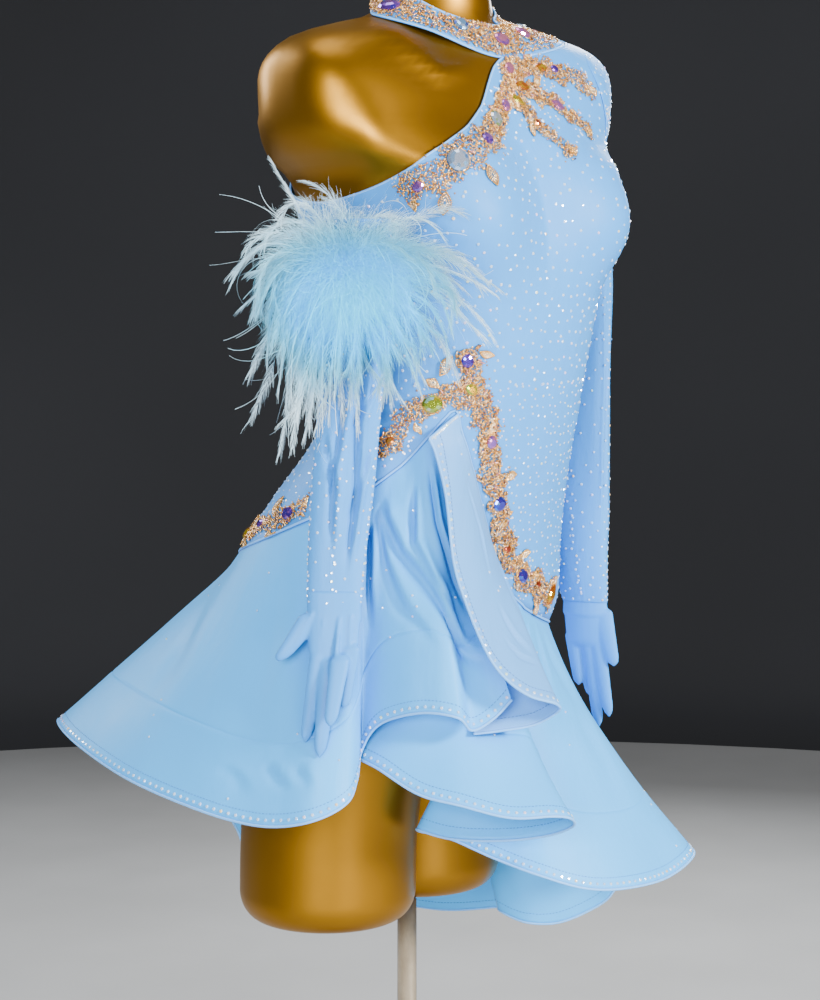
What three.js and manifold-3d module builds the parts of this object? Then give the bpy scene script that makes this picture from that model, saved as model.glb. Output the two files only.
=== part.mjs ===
// Latin dance dress with one feather-cuffed glove sleeve, standing on its dress form.
// Millimetres, +Z up. The origin is the centre of the base plate's underside.
// The wearer faces -Y, and the wearer's left is +X.
import * as THREE from 'three';
import { mergeVertices } from 'three/addons/utils/BufferGeometryUtils.js';
import Module from 'manifold-3d';

const wasm = await Module();
wasm.setup();

// ---- driving dimensions ----
const CLOTH = 1.6;             // wall of every cloth piece
const GAP = 0.3;               // between pieces at a seam
const EASE = 5.0;              // bodice to form
const COLLAR_EASE = 3.2;       // collar to the form's neck
const TRIM = 2.4;              // thickness of the beaded trim
const HEM_BAND = 70;           // height of the band that stiffens each hem
const FORM_BASE_Z = 566;       // underside of the form
const POLE_RADIUS = 9;
const BASE_RADIUS = 175;
const BASE_THICK = 8;
const COLLAR_HEIGHT = 30;
const ARMHOLE_X = 157.5;        // plane of the left armhole
const ARMPIT_Z = 1219;
const SIDE_SEAM = 96;          // turn of the bodice's side seams, from the front

const BLUE = { color: 0xa6ccee, roughness: 0.55, metalness: 0 };
const FEATHER = { color: 0x9fdcf2, roughness: 0.8, metalness: 0 };
const GOLD = { color: 0xc48a1c, roughness: 0.3, metalness: 0.7 };
const TRIM_GOLD = { color: 0xd9a566, roughness: 0.35, metalness: 0.6 };
const STEEL = { color: 0xb9ad98, roughness: 0.5, metalness: 0.5 };

const DEG = Math.PI / 180;
const part = new THREE.Group();

// ---- tables and curves ----

// The value of each column at a fractional row, on smooth curves through the rows.
function rowAt(rows, at) {
  const last = rows.length - 1;
  const low = Math.min(Math.max(Math.floor(at), 0), last - 1);
  const t = at - low;
  const result = {};
  for (const column of Object.keys(rows[0])) {
    const pick = (index) => rows[Math.min(Math.max(index, 0), last)][column];
    const [a, b, c, d] = [pick(low - 1), pick(low), pick(low + 1), pick(low + 2)];
    const rise = (c - a) / 2;
    const fall = (d - b) / 2;
    const t2 = t * t;
    const t3 = t2 * t;
    result[column] = (2 * t3 - 3 * t2 + 1) * b + (t3 - 2 * t2 + t) * rise
      + (3 * t2 - 2 * t3) * c + (t3 - t2) * fall;
  }
  return result;
}

// ---- the form's surface, which the dress follows ----

// One row per section, from the underside to the neck: height, centre, half width, half depths
// to the front and back, squareness, and how far it splits into two lobes.
const FORM = [
  { z: FORM_BASE_Z, cx: -18, cy: 27, half: 160, front: 100, back: 100, square: 2.0, lobes: 1 },
  { z: 640, cx: -17, cy: 26, half: 160, front: 104, back: 104, square: 2.0, lobes: 1 },
  { z: 720, cx: -14, cy: 20, half: 162, front: 110, back: 112, square: 2.1, lobes: 0.8 },
  { z: 800, cx: -8, cy: 12, half: 163, front: 116, back: 120, square: 2.2, lobes: 0.3 },
  { z: 850, cx: -2, cy: 8, half: 163, front: 118, back: 122, square: 2.2, lobes: 0 },
  { z: 895, cx: 0, cy: 4, half: 160, front: 116, back: 120, square: 2.2, lobes: 0 },
  { z: 945, cx: 2, cy: -18, half: 143, front: 106, back: 110, square: 2.2, lobes: 0 },
  { z: 1000, cx: 6, cy: -44, half: 124, front: 96, back: 96, square: 2.2, lobes: 0 },
  { z: 1060, cx: 10, cy: -64, half: 115, front: 90, back: 88, square: 2.2, lobes: 0 },
  { z: 1130, cx: 8, cy: -60, half: 133, front: 102, back: 96, square: 2.2, lobes: 0 },
  { z: 1190, cx: 4, cy: -52, half: 146, front: 106, back: 102, square: 2.2, lobes: 0 },
  { z: 1225, cx: 0, cy: -46, half: 154, front: 105, back: 99, square: 2.3, lobes: 0 },
  { z: 1242, cx: 0, cy: -44, half: 172, front: 102, back: 96, square: 2.6, lobes: 0 },
  { z: 1265, cx: 0, cy: -43, half: 184, front: 96, back: 91, square: 2.8, lobes: 0 },
  { z: 1295, cx: 0, cy: -42, half: 187, front: 85, back: 84, square: 2.9, lobes: 0 },
  { z: 1322, cx: 0, cy: -41, half: 182, front: 72, back: 75, square: 2.9, lobes: 0 },
  { z: 1342, cx: 0, cy: -40, half: 166, front: 62, back: 66, square: 2.4, lobes: 0 },
  { z: 1354, cx: 0, cy: -38, half: 140, front: 56, back: 60, square: 1.8, lobes: 0 },
  { z: 1362, cx: 0, cy: -36, half: 108, front: 52, back: 55, square: 1.6, lobes: 0 },
  { z: 1369, cx: 0, cy: -35, half: 80, front: 49, back: 52, square: 1.7, lobes: 0 },
  { z: 1380, cx: 0, cy: -34, half: 59, front: 48, back: 50, square: 1.9, lobes: 0 },
  { z: 1405, cx: 0, cy: -34, half: 51, front: 48, back: 49, square: 2.0, lobes: 0 },
  { z: 1440, cx: 0, cy: -37, half: 50, front: 48, back: 48, square: 2.0, lobes: 0 },
];
const LOBE_OFFSET = 72;        // centre of the form to the centre of each lobe
const LOBE_RADIUS = 80;
const LOBE_TURN = 11;          // the lobes' line turns this much from the X axis
const GROOVE = 36;             // least radius, in the groove between the lobes
const BUST = { z: 1203, turn: 37, spread: 23, height: 40, form: 31, dress: 36 };

function formRow(z) {
  let index = 0;
  while (index < FORM.length - 2 && FORM[index + 1].z < z) index += 1;
  let low = index;
  let high = index + 1;
  for (let step = 0; step < 24; step += 1) {
    const middle = (low + high) / 2;
    if (rowAt(FORM, middle).z < z) low = middle;
    else high = middle;
  }
  return (low + high) / 2;
}

function lobeRadius(turn) {
  const angle = (turn - 90 - LOBE_TURN) * DEG;
  const along = LOBE_OFFSET * Math.abs(Math.cos(angle));
  const across = LOBE_OFFSET * Math.sin(angle);
  return along + Math.sqrt(Math.max(LOBE_RADIUS ** 2 - across ** 2, GROOVE ** 2));
}

function sectionPoint(turn, row, bustReach) {
  const section = rowAt(FORM, row);
  const side = Math.abs(Math.sin(turn * DEG)) / section.half;
  const deep = Math.cos(turn * DEG);
  const depth = Math.abs(deep) / (deep > 0 ? section.front : section.back);
  const oval = (side ** section.square + depth ** section.square) ** (-1 / section.square);
  const lobes = Math.min(Math.max(section.lobes, 0), 1);
  const bustTurn = (Math.abs(turn) - BUST.turn) / BUST.spread;
  const bustRise = (section.z - BUST.z) / BUST.height;
  const bust = bustReach * Math.exp(-(bustTurn ** 2) - bustRise ** 2);
  const radius = oval * (1 - lobes) + lobeRadius(turn) * lobes + bust;
  return new THREE.Vector3(
    section.cx + radius * Math.sin(turn * DEG),
    section.cy - radius * Math.cos(turn * DEG),
    section.z,
  );
}

// A point out from the form along its normal. Turn is in degrees from the front to the left.
function formPoint(turn, row, out) {
  if (out === 0) return sectionPoint(turn, row, BUST.form);
  const surface = (atTurn, atRow) => sectionPoint(atTurn, atRow, BUST.dress);
  const point = surface(turn, row);
  const across = surface(turn + 1, row).sub(surface(turn - 1, row));
  const upRow = Math.min(row + 0.05, FORM.length - 1);
  const up = surface(turn, upRow).sub(surface(turn, upRow - 0.1));
  return point.addScaledVector(across.cross(up).normalize(), out);
}

const onForm = (turn, z, out) => formPoint(turn, formRow(z), out);

// ---- solids from grids of points ----

// Joins two layers of points, grid[i][j], into one closed solid. Where `round` is set, the rows
// of i close on themselves.
function layeredSolid(outer, inner, round = false) {
  const countI = outer.length;
  const countJ = outer[0].length;
  const positions = [];
  const faces = [];
  for (const layer of [outer, inner]) {
    for (const line of layer) {
      for (const point of line) positions.push(point.x, point.y, point.z);
    }
  }
  const at = (layer, i, j) => (layer * countI + (i % countI)) * countJ + j;
  const quad = (a, b, c, d) => faces.push(a, b, c, a, c, d);
  const cellsI = round ? countI : countI - 1;
  for (let i = 0; i < cellsI; i += 1) {
    for (let j = 0; j < countJ - 1; j += 1) {
      quad(at(0, i, j), at(0, i + 1, j), at(0, i + 1, j + 1), at(0, i, j + 1));
      quad(at(1, i, j), at(1, i, j + 1), at(1, i + 1, j + 1), at(1, i + 1, j));
    }
    quad(at(0, i, 0), at(1, i, 0), at(1, i + 1, 0), at(0, i + 1, 0));
    const end = countJ - 1;
    quad(at(0, i, end), at(0, i + 1, end), at(1, i + 1, end), at(1, i, end));
  }
  if (!round) {
    for (let j = 0; j < countJ - 1; j += 1) {
      quad(at(0, 0, j), at(0, 0, j + 1), at(1, 0, j + 1), at(1, 0, j));
      const end = countI - 1;
      quad(at(0, end, j), at(1, end, j), at(1, end, j + 1), at(0, end, j + 1));
    }
  }
  return facingOut(positions, faces);
}

function facingOut(positions, faces) {
  let volume = 0;
  const corner = (index) => new THREE.Vector3().fromArray(positions, index * 3);
  for (let face = 0; face < faces.length; face += 3) {
    const [a, b, c] = [corner(faces[face]), corner(faces[face + 1]), corner(faces[face + 2])];
    volume += a.dot(b.cross(c));
  }
  if (volume < 0) faces.reverse();
  const geometry = new THREE.BufferGeometry();
  geometry.setAttribute('position', new THREE.Float32BufferAttribute(positions, 3));
  geometry.setIndex(faces);
  return geometry;
}

// A solid from closed rings of points, each end closed with a fan about its middle.
function ringSolid(rings) {
  const sides = rings[0].length;
  const positions = [];
  const faces = [];
  for (const ring of rings) {
    for (const point of ring) positions.push(point.x, point.y, point.z);
  }
  for (let r = 0; r < rings.length - 1; r += 1) {
    for (let s = 0; s < sides; s += 1) {
      const next = (s + 1) % sides;
      const [a, b] = [r * sides + s, r * sides + next];
      const [c, d] = [(r + 1) * sides + next, (r + 1) * sides + s];
      faces.push(a, b, c, a, c, d);
    }
  }
  for (const [r, flip] of [[0, true], [rings.length - 1, false]]) {
    const middle = new THREE.Vector3();
    for (const point of rings[r]) middle.addScaledVector(point, 1 / sides);
    const centre = positions.length / 3;
    positions.push(middle.x, middle.y, middle.z);
    for (let s = 0; s < sides; s += 1) {
      const next = (s + 1) % sides;
      const [a, b] = [r * sides + s, r * sides + next];
      faces.push(centre, flip ? b : a, flip ? a : b);
    }
  }
  return facingOut(positions, faces);
}

// A cloth wall whose outer face is the surface pointAt(s, t), for s and t from 0 to 1.
function clothSolid(pointAt, countI, countJ, thickness) {
  const step = 1e-3;
  const innerAt = (s, t) => {
    const across = pointAt(s + step, t).sub(pointAt(s - step, t));
    const down = pointAt(s, Math.min(t + step, 1)).sub(pointAt(s, Math.max(t - step, 0)));
    return pointAt(s, t).addScaledVector(across.cross(down).normalize(), thickness);
  };
  return layeredSolid(gridOf(countI, countJ, pointAt), gridOf(countI, countJ, innerAt));
}

function gridOf(countI, countJ, pointAt) {
  return Array.from({ length: countI + 1 }, (_, i) => (
    Array.from({ length: countJ + 1 }, (__, j) => pointAt(i / countI, j / countJ))));
}

function addPiece(name, geometry, finish) {
  const material = new THREE.MeshStandardMaterial(finish);
  const mesh = new THREE.Mesh(geometry, material);
  mesh.name = name;
  part.add(mesh);
  return mesh;
}

// ---- booleans ----

function toSolid(geometry) {
  const plain = geometry.clone();
  plain.deleteAttribute('normal');
  plain.deleteAttribute('uv');
  const merged = mergeVertices(plain, 1e-4);
  return new wasm.Manifold(new wasm.Mesh({
    numProp: 3,
    vertProperties: new Float32Array(merged.attributes.position.array),
    triVerts: new Uint32Array(merged.index.array),
  }));
}

function fromSolid(solid) {
  const mesh = solid.getMesh();
  const geometry = new THREE.BufferGeometry();
  geometry.setAttribute('position', new THREE.BufferAttribute(mesh.vertProperties, 3));
  geometry.setIndex(new THREE.BufferAttribute(mesh.triVerts, 1));
  return geometry;
}

// ---- stand and form ----

const FORM_TURNS = 44;

function formSolid(out, zLow, zHigh, steps) {
  const low = formRow(zLow);
  const high = formRow(zHigh);
  const rings = Array.from({ length: steps + 1 }, (_, step) => (
    Array.from({ length: FORM_TURNS }, (__, side) => (
      formPoint(side * 360 / FORM_TURNS - 180, low + (high - low) * step / steps, out)))));
  return ringSolid(rings);
}

function buildStand() {
  addPiece('form', formSolid(0, FORM_BASE_Z, FORM[FORM.length - 1].z, 34), GOLD);
  const poleLength = FORM_BASE_Z - BASE_THICK - 2 * GAP;
  const pole = new THREE.CylinderGeometry(POLE_RADIUS, POLE_RADIUS, poleLength, 16);
  addPiece('pole', pole, STEEL);
  part.children.at(-1).rotation.x = Math.PI / 2;
  part.children.at(-1).position.z = BASE_THICK + GAP + poleLength / 2;
  const base = new THREE.CylinderGeometry(BASE_RADIUS, BASE_RADIUS, BASE_THICK, 40);
  addPiece('base_plate', base, STEEL);
  part.children.at(-1).rotation.x = Math.PI / 2;
  part.children.at(-1).position.z = BASE_THICK / 2;
}

// ---- bodice ----

// Upper edge of the bodice: under the right arm, up round the bare shoulder to the collar, over
// the left shoulder and down the back the same way.
const NECKLINE = [
  { turn: -180, z: 1389.1 }, { turn: -172, z: 1362 }, { turn: -164, z: 1326 },
  { turn: -153, z: 1284 }, { turn: -138, z: 1248 }, { turn: -120, z: 1222 },
  { turn: -105, z: 1210 }, { turn: -90, z: 1205 }, { turn: -74, z: 1212 },
  { turn: -60, z: 1225 }, { turn: -45, z: 1247 }, { turn: -32, z: 1266 }, { turn: -22, z: 1286 },
  { turn: -16, z: 1305 }, { turn: -9, z: 1322 }, { turn: 0, z: 1331.5 }, { turn: 16, z: 1333.6 },
  { turn: 42, z: 1341.6 }, { turn: 66, z: 1354.1 }, { turn: 90, z: 1369.1 }, { turn: 120, z: 1379.2 },
  { turn: 150, z: 1386.5 }, { turn: 180, z: 1389.1 },
];

// Lower edge, where the skirt is sewn on: its peak is on the right of the front.
const SEAM = [
  { turn: -180, z: 862 }, { turn: -157, z: 874 }, { turn: -135, z: 887 }, { turn: -118, z: 897 },
  { turn: -102, z: 910 }, { turn: -85, z: 932 }, { turn: -70, z: 956 }, { turn: -60, z: 984 },
  { turn: -54, z: 1010 }, { turn: -48, z: 1030 }, { turn: -42, z: 1012 }, { turn: -32, z: 984 },
  { turn: -20, z: 950 }, { turn: -7, z: 911 }, { turn: 6, z: 868 }, { turn: 20, z: 848 },
  { turn: 42, z: 832 }, { turn: 66, z: 820 }, { turn: 90, z: 814 }, { turn: 112, z: 816 },
  { turn: 135, z: 826 }, { turn: 158, z: 844 }, { turn: 180, z: 862 },
];

function edgeHeight(rows, turn) {
  let index = 0;
  while (index < rows.length - 2 && rows[index + 1].turn < turn) index += 1;
  const span = rows[index + 1].turn - rows[index].turn;
  return rowAt(rows, index + (turn - rows[index].turn) / span).z;
}

function bodicePoint(turn, share, out) {
  const wrapped = ((turn + 540) % 360) - 180;
  const top = formRow(edgeHeight(NECKLINE, wrapped));
  const foot = formRow(edgeHeight(SEAM, wrapped));
  return formPoint(wrapped, top + (foot - top) * share, out);
}

const BODICE_ROWS = 14;
const SEAM_PEAK = -48;         // turn where the lower edge is highest

// Turns from one side to the other, closer together where the edges change fastest.
function crowdedTurns(from, to, count) {
  const weight = (turn) => 1 + 1.9 * Math.exp(-(((turn + 34) / 32) ** 2));
  const fine = 400;
  const sums = [0];
  for (let step = 0; step < fine; step += 1) {
    sums.push(sums[step] + weight(from + (to - from) * (step + 0.5) / fine));
  }
  return Array.from({ length: count + 1 }, (_, column) => {
    const wanted = sums[fine] * column / count;
    const step = Math.min(sums.findIndex((sum) => sum >= wanted - 1e-9), fine);
    const before = Math.max(step - 1, 0);
    const rise = sums[step] - sums[before] || 1;
    return from + (to - from) * (before + (wanted - sums[before]) / rise) / fine;
  });
}

function buildBodice() {
  const halves = [
    { name: 'bodice_front', turns: [...crowdedTurns(-SIDE_SEAM, SEAM_PEAK, 8).slice(0, -1),
      ...crowdedTurns(SEAM_PEAK, SIDE_SEAM - 0.3, 18)] },
    { name: 'bodice_back', turns: crowdedTurns(SIDE_SEAM, 359.7 - SIDE_SEAM, 22) },
  ];
  const sleeveSide = new THREE.BoxGeometry(100, 300, 160);
  sleeveSide.translate(ARMHOLE_X + 50, 0, ARMPIT_Z + 80);
  for (const half of halves) {
    const layer = (out) => half.turns.map((turn) => (
      Array.from({ length: BODICE_ROWS + 1 }, (_, j) => bodicePoint(turn, j / BODICE_ROWS, out))));
    const whole = toSolid(layeredSolid(layer(EASE + CLOTH), layer(EASE)));
    addPiece(half.name, fromSolid(whole.subtract(toSolid(sleeveSide))), BLUE);
  }
}

// The collar stands round the neck, lower at the front and a little higher at the back.
const COLLAR = { side: 1370, drop: 37, rise: 20 };
const COLLAR_SIDES = 30;

function collarFoot(turn) {
  const forward = Math.cos(turn * DEG);
  return COLLAR.side - forward * (forward > 0 ? COLLAR.drop : COLLAR.rise);
}

function collarPoint(turn, share, out) {
  return onForm(turn, collarFoot(turn) + COLLAR_HEIGHT * (1 - share), COLLAR_EASE + out);
}

function buildCollar() {
  const ring = (out) => gridOf(COLLAR_SIDES, 2, (s, t) => collarPoint(s * 360, t, out));
  const [outer, inner] = [ring(CLOTH), ring(0)].map((grid) => grid.slice(0, COLLAR_SIDES));
  addPiece('collar', layeredSolid(outer, inner, true), BLUE);
}

// ---- skirt ----

// Each row is a fold: where it is sewn on (turn of the seam) and where its hem lies (turn,
// reach from the axis of the stand, height). Where the flare is over 1, it falls before it flares.
const RIGHT_SKIRT = [
  { seam: -179, turn: -178, reach: 222, z: 562, flare: 1 },
  { seam: -171, turn: -172, reach: 212, z: 602, flare: 1 },
  { seam: -162, turn: -163, reach: 225, z: 648, flare: 1 },
  { seam: -152, turn: -153, reach: 262, z: 678, flare: 1 },
  { seam: -142, turn: -145, reach: 300, z: 710, flare: 1 },
  { seam: -132, turn: -138, reach: 327, z: 733, flare: 1 },
  { seam: -122, turn: -121, reach: 296, z: 720, flare: 1 },
  { seam: -112, turn: -109, reach: 274, z: 707, flare: 1 },
  { seam: -103, turn: -96, reach: 256, z: 696, flare: 1 },
  { seam: -94, turn: -83, reach: 242, z: 686, flare: 1 },
  { seam: -86, turn: -73, reach: 238, z: 685, flare: 1 },
  { seam: -79, turn: -64, reach: 235, z: 693, flare: 1 },
  { seam: -74, turn: -58, reach: 216, z: 706, flare: 1 },
  { seam: -70, turn: -57, reach: 197, z: 722, flare: 1 },
  { seam: -67, turn: -57, reach: 183, z: 743, flare: 1 },
  { seam: -63, turn: -52, reach: 189, z: 767, flare: 1 },
  { seam: -59, turn: -42, reach: 206, z: 780, flare: 1 },
  { seam: -56, turn: -34, reach: 219, z: 778, flare: 1 },
  { seam: -53, turn: -30, reach: 211, z: 765, flare: 1.1 },
  { seam: -52.4, turn: -25, reach: 212, z: 774, flare: 1.4 },
  { seam: -51.6, turn: -21, reach: 216, z: 790, flare: 1.7 },
];
const OVERLAY = [
  { seam: -46, turn: -38, reach: 159, z: 1006, flare: 1 },
  { seam: -43, turn: -36, reach: 162, z: 992, flare: 1 },
  { seam: -39, turn: -34, reach: 176, z: 958, flare: 1 },
  { seam: -33, turn: -33, reach: 194, z: 904, flare: 1 },
  { seam: -27, turn: -31, reach: 206, z: 872, flare: 1 },
  { seam: -21, turn: -28, reach: 221, z: 836, flare: 1 },
  { seam: -16, turn: -25, reach: 232, z: 814, flare: 1 },
  { seam: -11, turn: -20, reach: 240, z: 797, flare: 1 },
  { seam: -7, turn: -13, reach: 237, z: 787, flare: 1 },
  { seam: -4, turn: -11, reach: 228, z: 778, flare: 1.1 },
  { seam: -2, turn: -14, reach: 210, z: 765, flare: 0.9 },
  { seam: -1, turn: -21, reach: 197, z: 760, flare: 0.75 },
  { seam: 0, turn: -28, reach: 192, z: 758, flare: 0.65 },
];
const LEFT_SKIRT = [
  { seam: -44, turn: -62, reach: 168, z: 738, flare: 2.1 },
  { seam: -42, turn: -59, reach: 175, z: 735, flare: 2.1 },
  { seam: -38, turn: -52, reach: 187, z: 728, flare: 2.1 },
  { seam: -32, turn: -42, reach: 205, z: 711, flare: 2.1 },
  { seam: -25, turn: -33, reach: 220, z: 704, flare: 2.1 },
  { seam: -17, turn: -23, reach: 232, z: 694, flare: 2.1 },
  { seam: -10, turn: -14, reach: 237, z: 692, flare: 2.1 },
  { seam: -5, turn: -9, reach: 236, z: 687, flare: 2.1 },
  { seam: -2, turn: -6, reach: 224, z: 676, flare: 2.1 },
  { seam: 0, turn: -8, reach: 198, z: 664, flare: 2.1 },
  { seam: 2, turn: -17, reach: 166, z: 657, flare: 2.1 },
  { seam: 4, turn: -30, reach: 143, z: 657, flare: 1.4 },
  { seam: 6, turn: -40, reach: 124, z: 661, flare: 1.4 },
  { seam: 8, turn: -38, reach: 106, z: 655, flare: 1.4 },
  { seam: 11, turn: -27, reach: 94, z: 648, flare: 1.4 },
  { seam: 15, turn: -18, reach: 106, z: 642, flare: 1.1 },
  { seam: 20, turn: -8, reach: 137, z: 630, flare: 1.1 },
  { seam: 26, turn: -1, reach: 165, z: 620, flare: 1.1 },
  { seam: 34, turn: 10, reach: 192, z: 606, flare: 1.1 },
  { seam: 42, turn: 20, reach: 213, z: 600, flare: 1.1 },
  { seam: 52, turn: 35, reach: 243, z: 598, flare: 1.1 },
  { seam: 62, turn: 48, reach: 270, z: 604, flare: 1.3 },
  { seam: 72, turn: 60, reach: 275, z: 598, flare: 1.3 },
  { seam: 82, turn: 70, reach: 262, z: 575, flare: 1.3 },
  { seam: 90, turn: 76, reach: 248, z: 548, flare: 1.3 },
  { seam: 97, turn: 80, reach: 238, z: 524, flare: 1.3 },
  { seam: 104, turn: 87, reach: 209, z: 504, flare: 1.3 },
  { seam: 110, turn: 95, reach: 188, z: 502, flare: 1.3 },
  { seam: 115, turn: 104, reach: 184, z: 510, flare: 1.3 },
  { seam: 120, turn: 106, reach: 203, z: 510, flare: 1.3 },
  { seam: 126, turn: 102, reach: 242, z: 504, flare: 1.3 },
  { seam: 132, turn: 104, reach: 270, z: 498, flare: 1.3 },
  { seam: 140, turn: 114, reach: 272, z: 488, flare: 1.3 },
  { seam: 149, turn: 128, reach: 255, z: 485, flare: 1.3 },
  { seam: 158, turn: 145, reach: 262, z: 500, flare: 1.3 },
  { seam: 168, turn: 160, reach: 275, z: 525, flare: 1.3 },
  { seam: 179, turn: 177, reach: 240, z: 552, flare: 1.3 },
];
const OVERLAY_LIFT = 2.7;      // overlay above the panels under it
const SEAM_DROP = 1.1;           // the skirt's upper edge below the bodice's lower edge
const PANEL_TRIM = 0.012;       // of a row, left open at each end of a panel
const BAND_SPLIT = 0.001;       // of the skirt's length, half the gap above a hem band
const FOLD_COLUMNS = 1.6;        // grid columns to each row

const around = (turn, reach, z) => new THREE.Vector3(
  reach * Math.sin(turn * DEG),
  -reach * Math.cos(turn * DEG),
  z,
);

function skirtPoint(rows, at, share, lift) {
  const fold = rowAt(rows, at);
  const top = onForm(fold.seam, edgeHeight(SEAM, fold.seam) - SEAM_DROP, EASE + CLOTH + lift);
  const hem = around(fold.turn, fold.reach, fold.z);
  const outward = share ** fold.flare;
  return new THREE.Vector3(
    top.x + (hem.x - top.x) * outward,
    top.y + (hem.y - top.y) * outward,
    top.z + (hem.z - top.z) * share,
  );
}

const bandStart = (rows, at) => {
  const length = skirtPoint(rows, at, 0, 0).distanceTo(skirtPoint(rows, at, 1, 0));
  return Math.max(1 - HEM_BAND / length, 0.45);
};

// One cut panel of a skirt, from one row to another, with its own hem band.
function buildPanel(name, rows, from, to) {
  const columns = Math.round((to - from) * FOLD_COLUMNS);
  const rowOf = (s) => from + PANEL_TRIM + (to - from - 2 * PANEL_TRIM) * s;
  const upper = (s, t) => skirtPoint(rows, rowOf(s), t * (bandStart(rows, rowOf(s)) - BAND_SPLIT), 0);
  const band = (s, t) => {
    const start = bandStart(rows, rowOf(s)) + BAND_SPLIT;
    return skirtPoint(rows, rowOf(s), start + (1 - start) * t, 0);
  };
  addPiece(name, clothSolid(upper, columns, 3, CLOTH), BLUE);
  addPiece(`${name}_hem_band`, clothSolid(band, columns, 2, CLOTH), BLUE);
}

function buildSkirt() {
  buildPanel('skirt_back_right', RIGHT_SKIRT, 0, 5);
  buildPanel('skirt_right', RIGHT_SKIRT, 5, 12);
  buildPanel('skirt_front_frill', RIGHT_SKIRT, 12, RIGHT_SKIRT.length - 1);
  buildPanel('skirt_front_drape', LEFT_SKIRT, 0, 14);
  buildPanel('skirt_left', LEFT_SKIRT, 14, 24);
  buildPanel('skirt_back_left', LEFT_SKIRT, 24, LEFT_SKIRT.length - 1);
  const last = OVERLAY.length - 1;
  const columns = Math.round(last * FOLD_COLUMNS);
  const surface = (s, t) => skirtPoint(OVERLAY, s * last, t, OVERLAY_LIFT);
  addPiece('skirt_overlay', clothSolid(surface, columns, 6, CLOTH), BLUE);
}

// ---- sleeves and gloves ----

// Left sleeve: the inner and outer edges of each ring, its middle and half width fore and aft,
// and how far its flat side turns.
const LEFT_SLEEVE = [
  { inX: 158, inZ: 1223, outX: 158, outZ: 1355, midY: -42, half: 78, yaw: 0 },
  { inX: 161.5, inZ: 1221, outX: 181, outZ: 1345, midY: -42, half: 75, yaw: 0 },
  { inX: 164, inZ: 1218, outX: 194, outZ: 1316, midY: -42, half: 66, yaw: 0 },
  { inX: 164, inZ: 1209, outX: 198, outZ: 1270, midY: -42, half: 54, yaw: 2 },
  { inX: 167, inZ: 1188, outX: 198, outZ: 1206, midY: -41, half: 43, yaw: 6 },
  { inX: 173, inZ: 1130, outX: 198, outZ: 1132, midY: -40, half: 38, yaw: 14 },
  { inX: 178, inZ: 1050, outX: 199, outZ: 1050, midY: -38, half: 36, yaw: 18 },
  { inX: 179, inZ: 960, outX: 200, outZ: 960, midY: -38, half: 35, yaw: 18 },
  { inX: 182, inZ: 890, outX: 202, outZ: 890, midY: -40, half: 33, yaw: 18 },
  { inX: 186, inZ: 832, outX: 204, outZ: 832, midY: -42, half: 31, yaw: 18 },
];

// Right sleeve: the middle of each ring, its half width across the flat and half thickness.
const RIGHT_SLEEVE = [
  { x: -168, y: -112, z: 1188, half: 27, thick: 18 },
  { x: -166, y: -108, z: 1152, half: 29, thick: 17 },
  { x: -161, y: -100, z: 1115, half: 31, thick: 14 }, { x: -157, y: -95, z: 1083, half: 29, thick: 12 },
  { x: -155, y: -89, z: 1040, half: 27, thick: 11 }, { x: -157, y: -82, z: 972, half: 27, thick: 10 },
  { x: -162, y: -80, z: 918, half: 25, thick: 9 }, { x: -172, y: -86, z: 866, half: 22, thick: 8 },
];
const SLEEVE_FACING = -45;     // the flat of the right sleeve faces this turn
const SLEEVE_SIDES = 12;
const SLEEVE_SQUARE = 3.0;     // squareness of the left sleeve's rings

function leftSleeveRing(row, angle, out) {
  const ring = rowAt(LEFT_SLEEVE, row);
  const middle = new THREE.Vector3((ring.inX + ring.outX) / 2, ring.midY, (ring.inZ + ring.outZ) / 2);
  const outward = new THREE.Vector3((ring.outX - ring.inX) / 2, 0, (ring.outZ - ring.inZ) / 2);
  const thick = outward.length();
  const boxy = (value) => Math.sign(value) * Math.abs(value) ** (2 / SLEEVE_SQUARE);
  const offset = outward.normalize().multiplyScalar((thick + out) * boxy(Math.cos(angle)));
  offset.y += (ring.half + out) * boxy(Math.sin(angle));
  return middle.add(offset.applyAxisAngle(new THREE.Vector3(0, 0, 1), ring.yaw * DEG));
}

function rightSleeveRing(row, angle, out) {
  const ring = rowAt(RIGHT_SLEEVE, row);
  const flat = new THREE.Vector3(Math.cos(SLEEVE_FACING * DEG), Math.sin(SLEEVE_FACING * DEG), 0);
  const face = new THREE.Vector3(Math.sin(SLEEVE_FACING * DEG), -Math.cos(SLEEVE_FACING * DEG), 0);
  return new THREE.Vector3(ring.x, ring.y, ring.z)
    .addScaledVector(flat, (ring.half + out) * Math.cos(angle))
    .addScaledVector(face, (ring.thick + out) * Math.sin(angle));
}

function tubeRings(ringPoint, rows, steps, out) {
  return Array.from({ length: SLEEVE_SIDES }, (_, side) => (
    Array.from({ length: steps + 1 }, (__, step) => (
      ringPoint((rows - 1) * step / steps, side * 2 * Math.PI / SLEEVE_SIDES, out)))));
}

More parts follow.
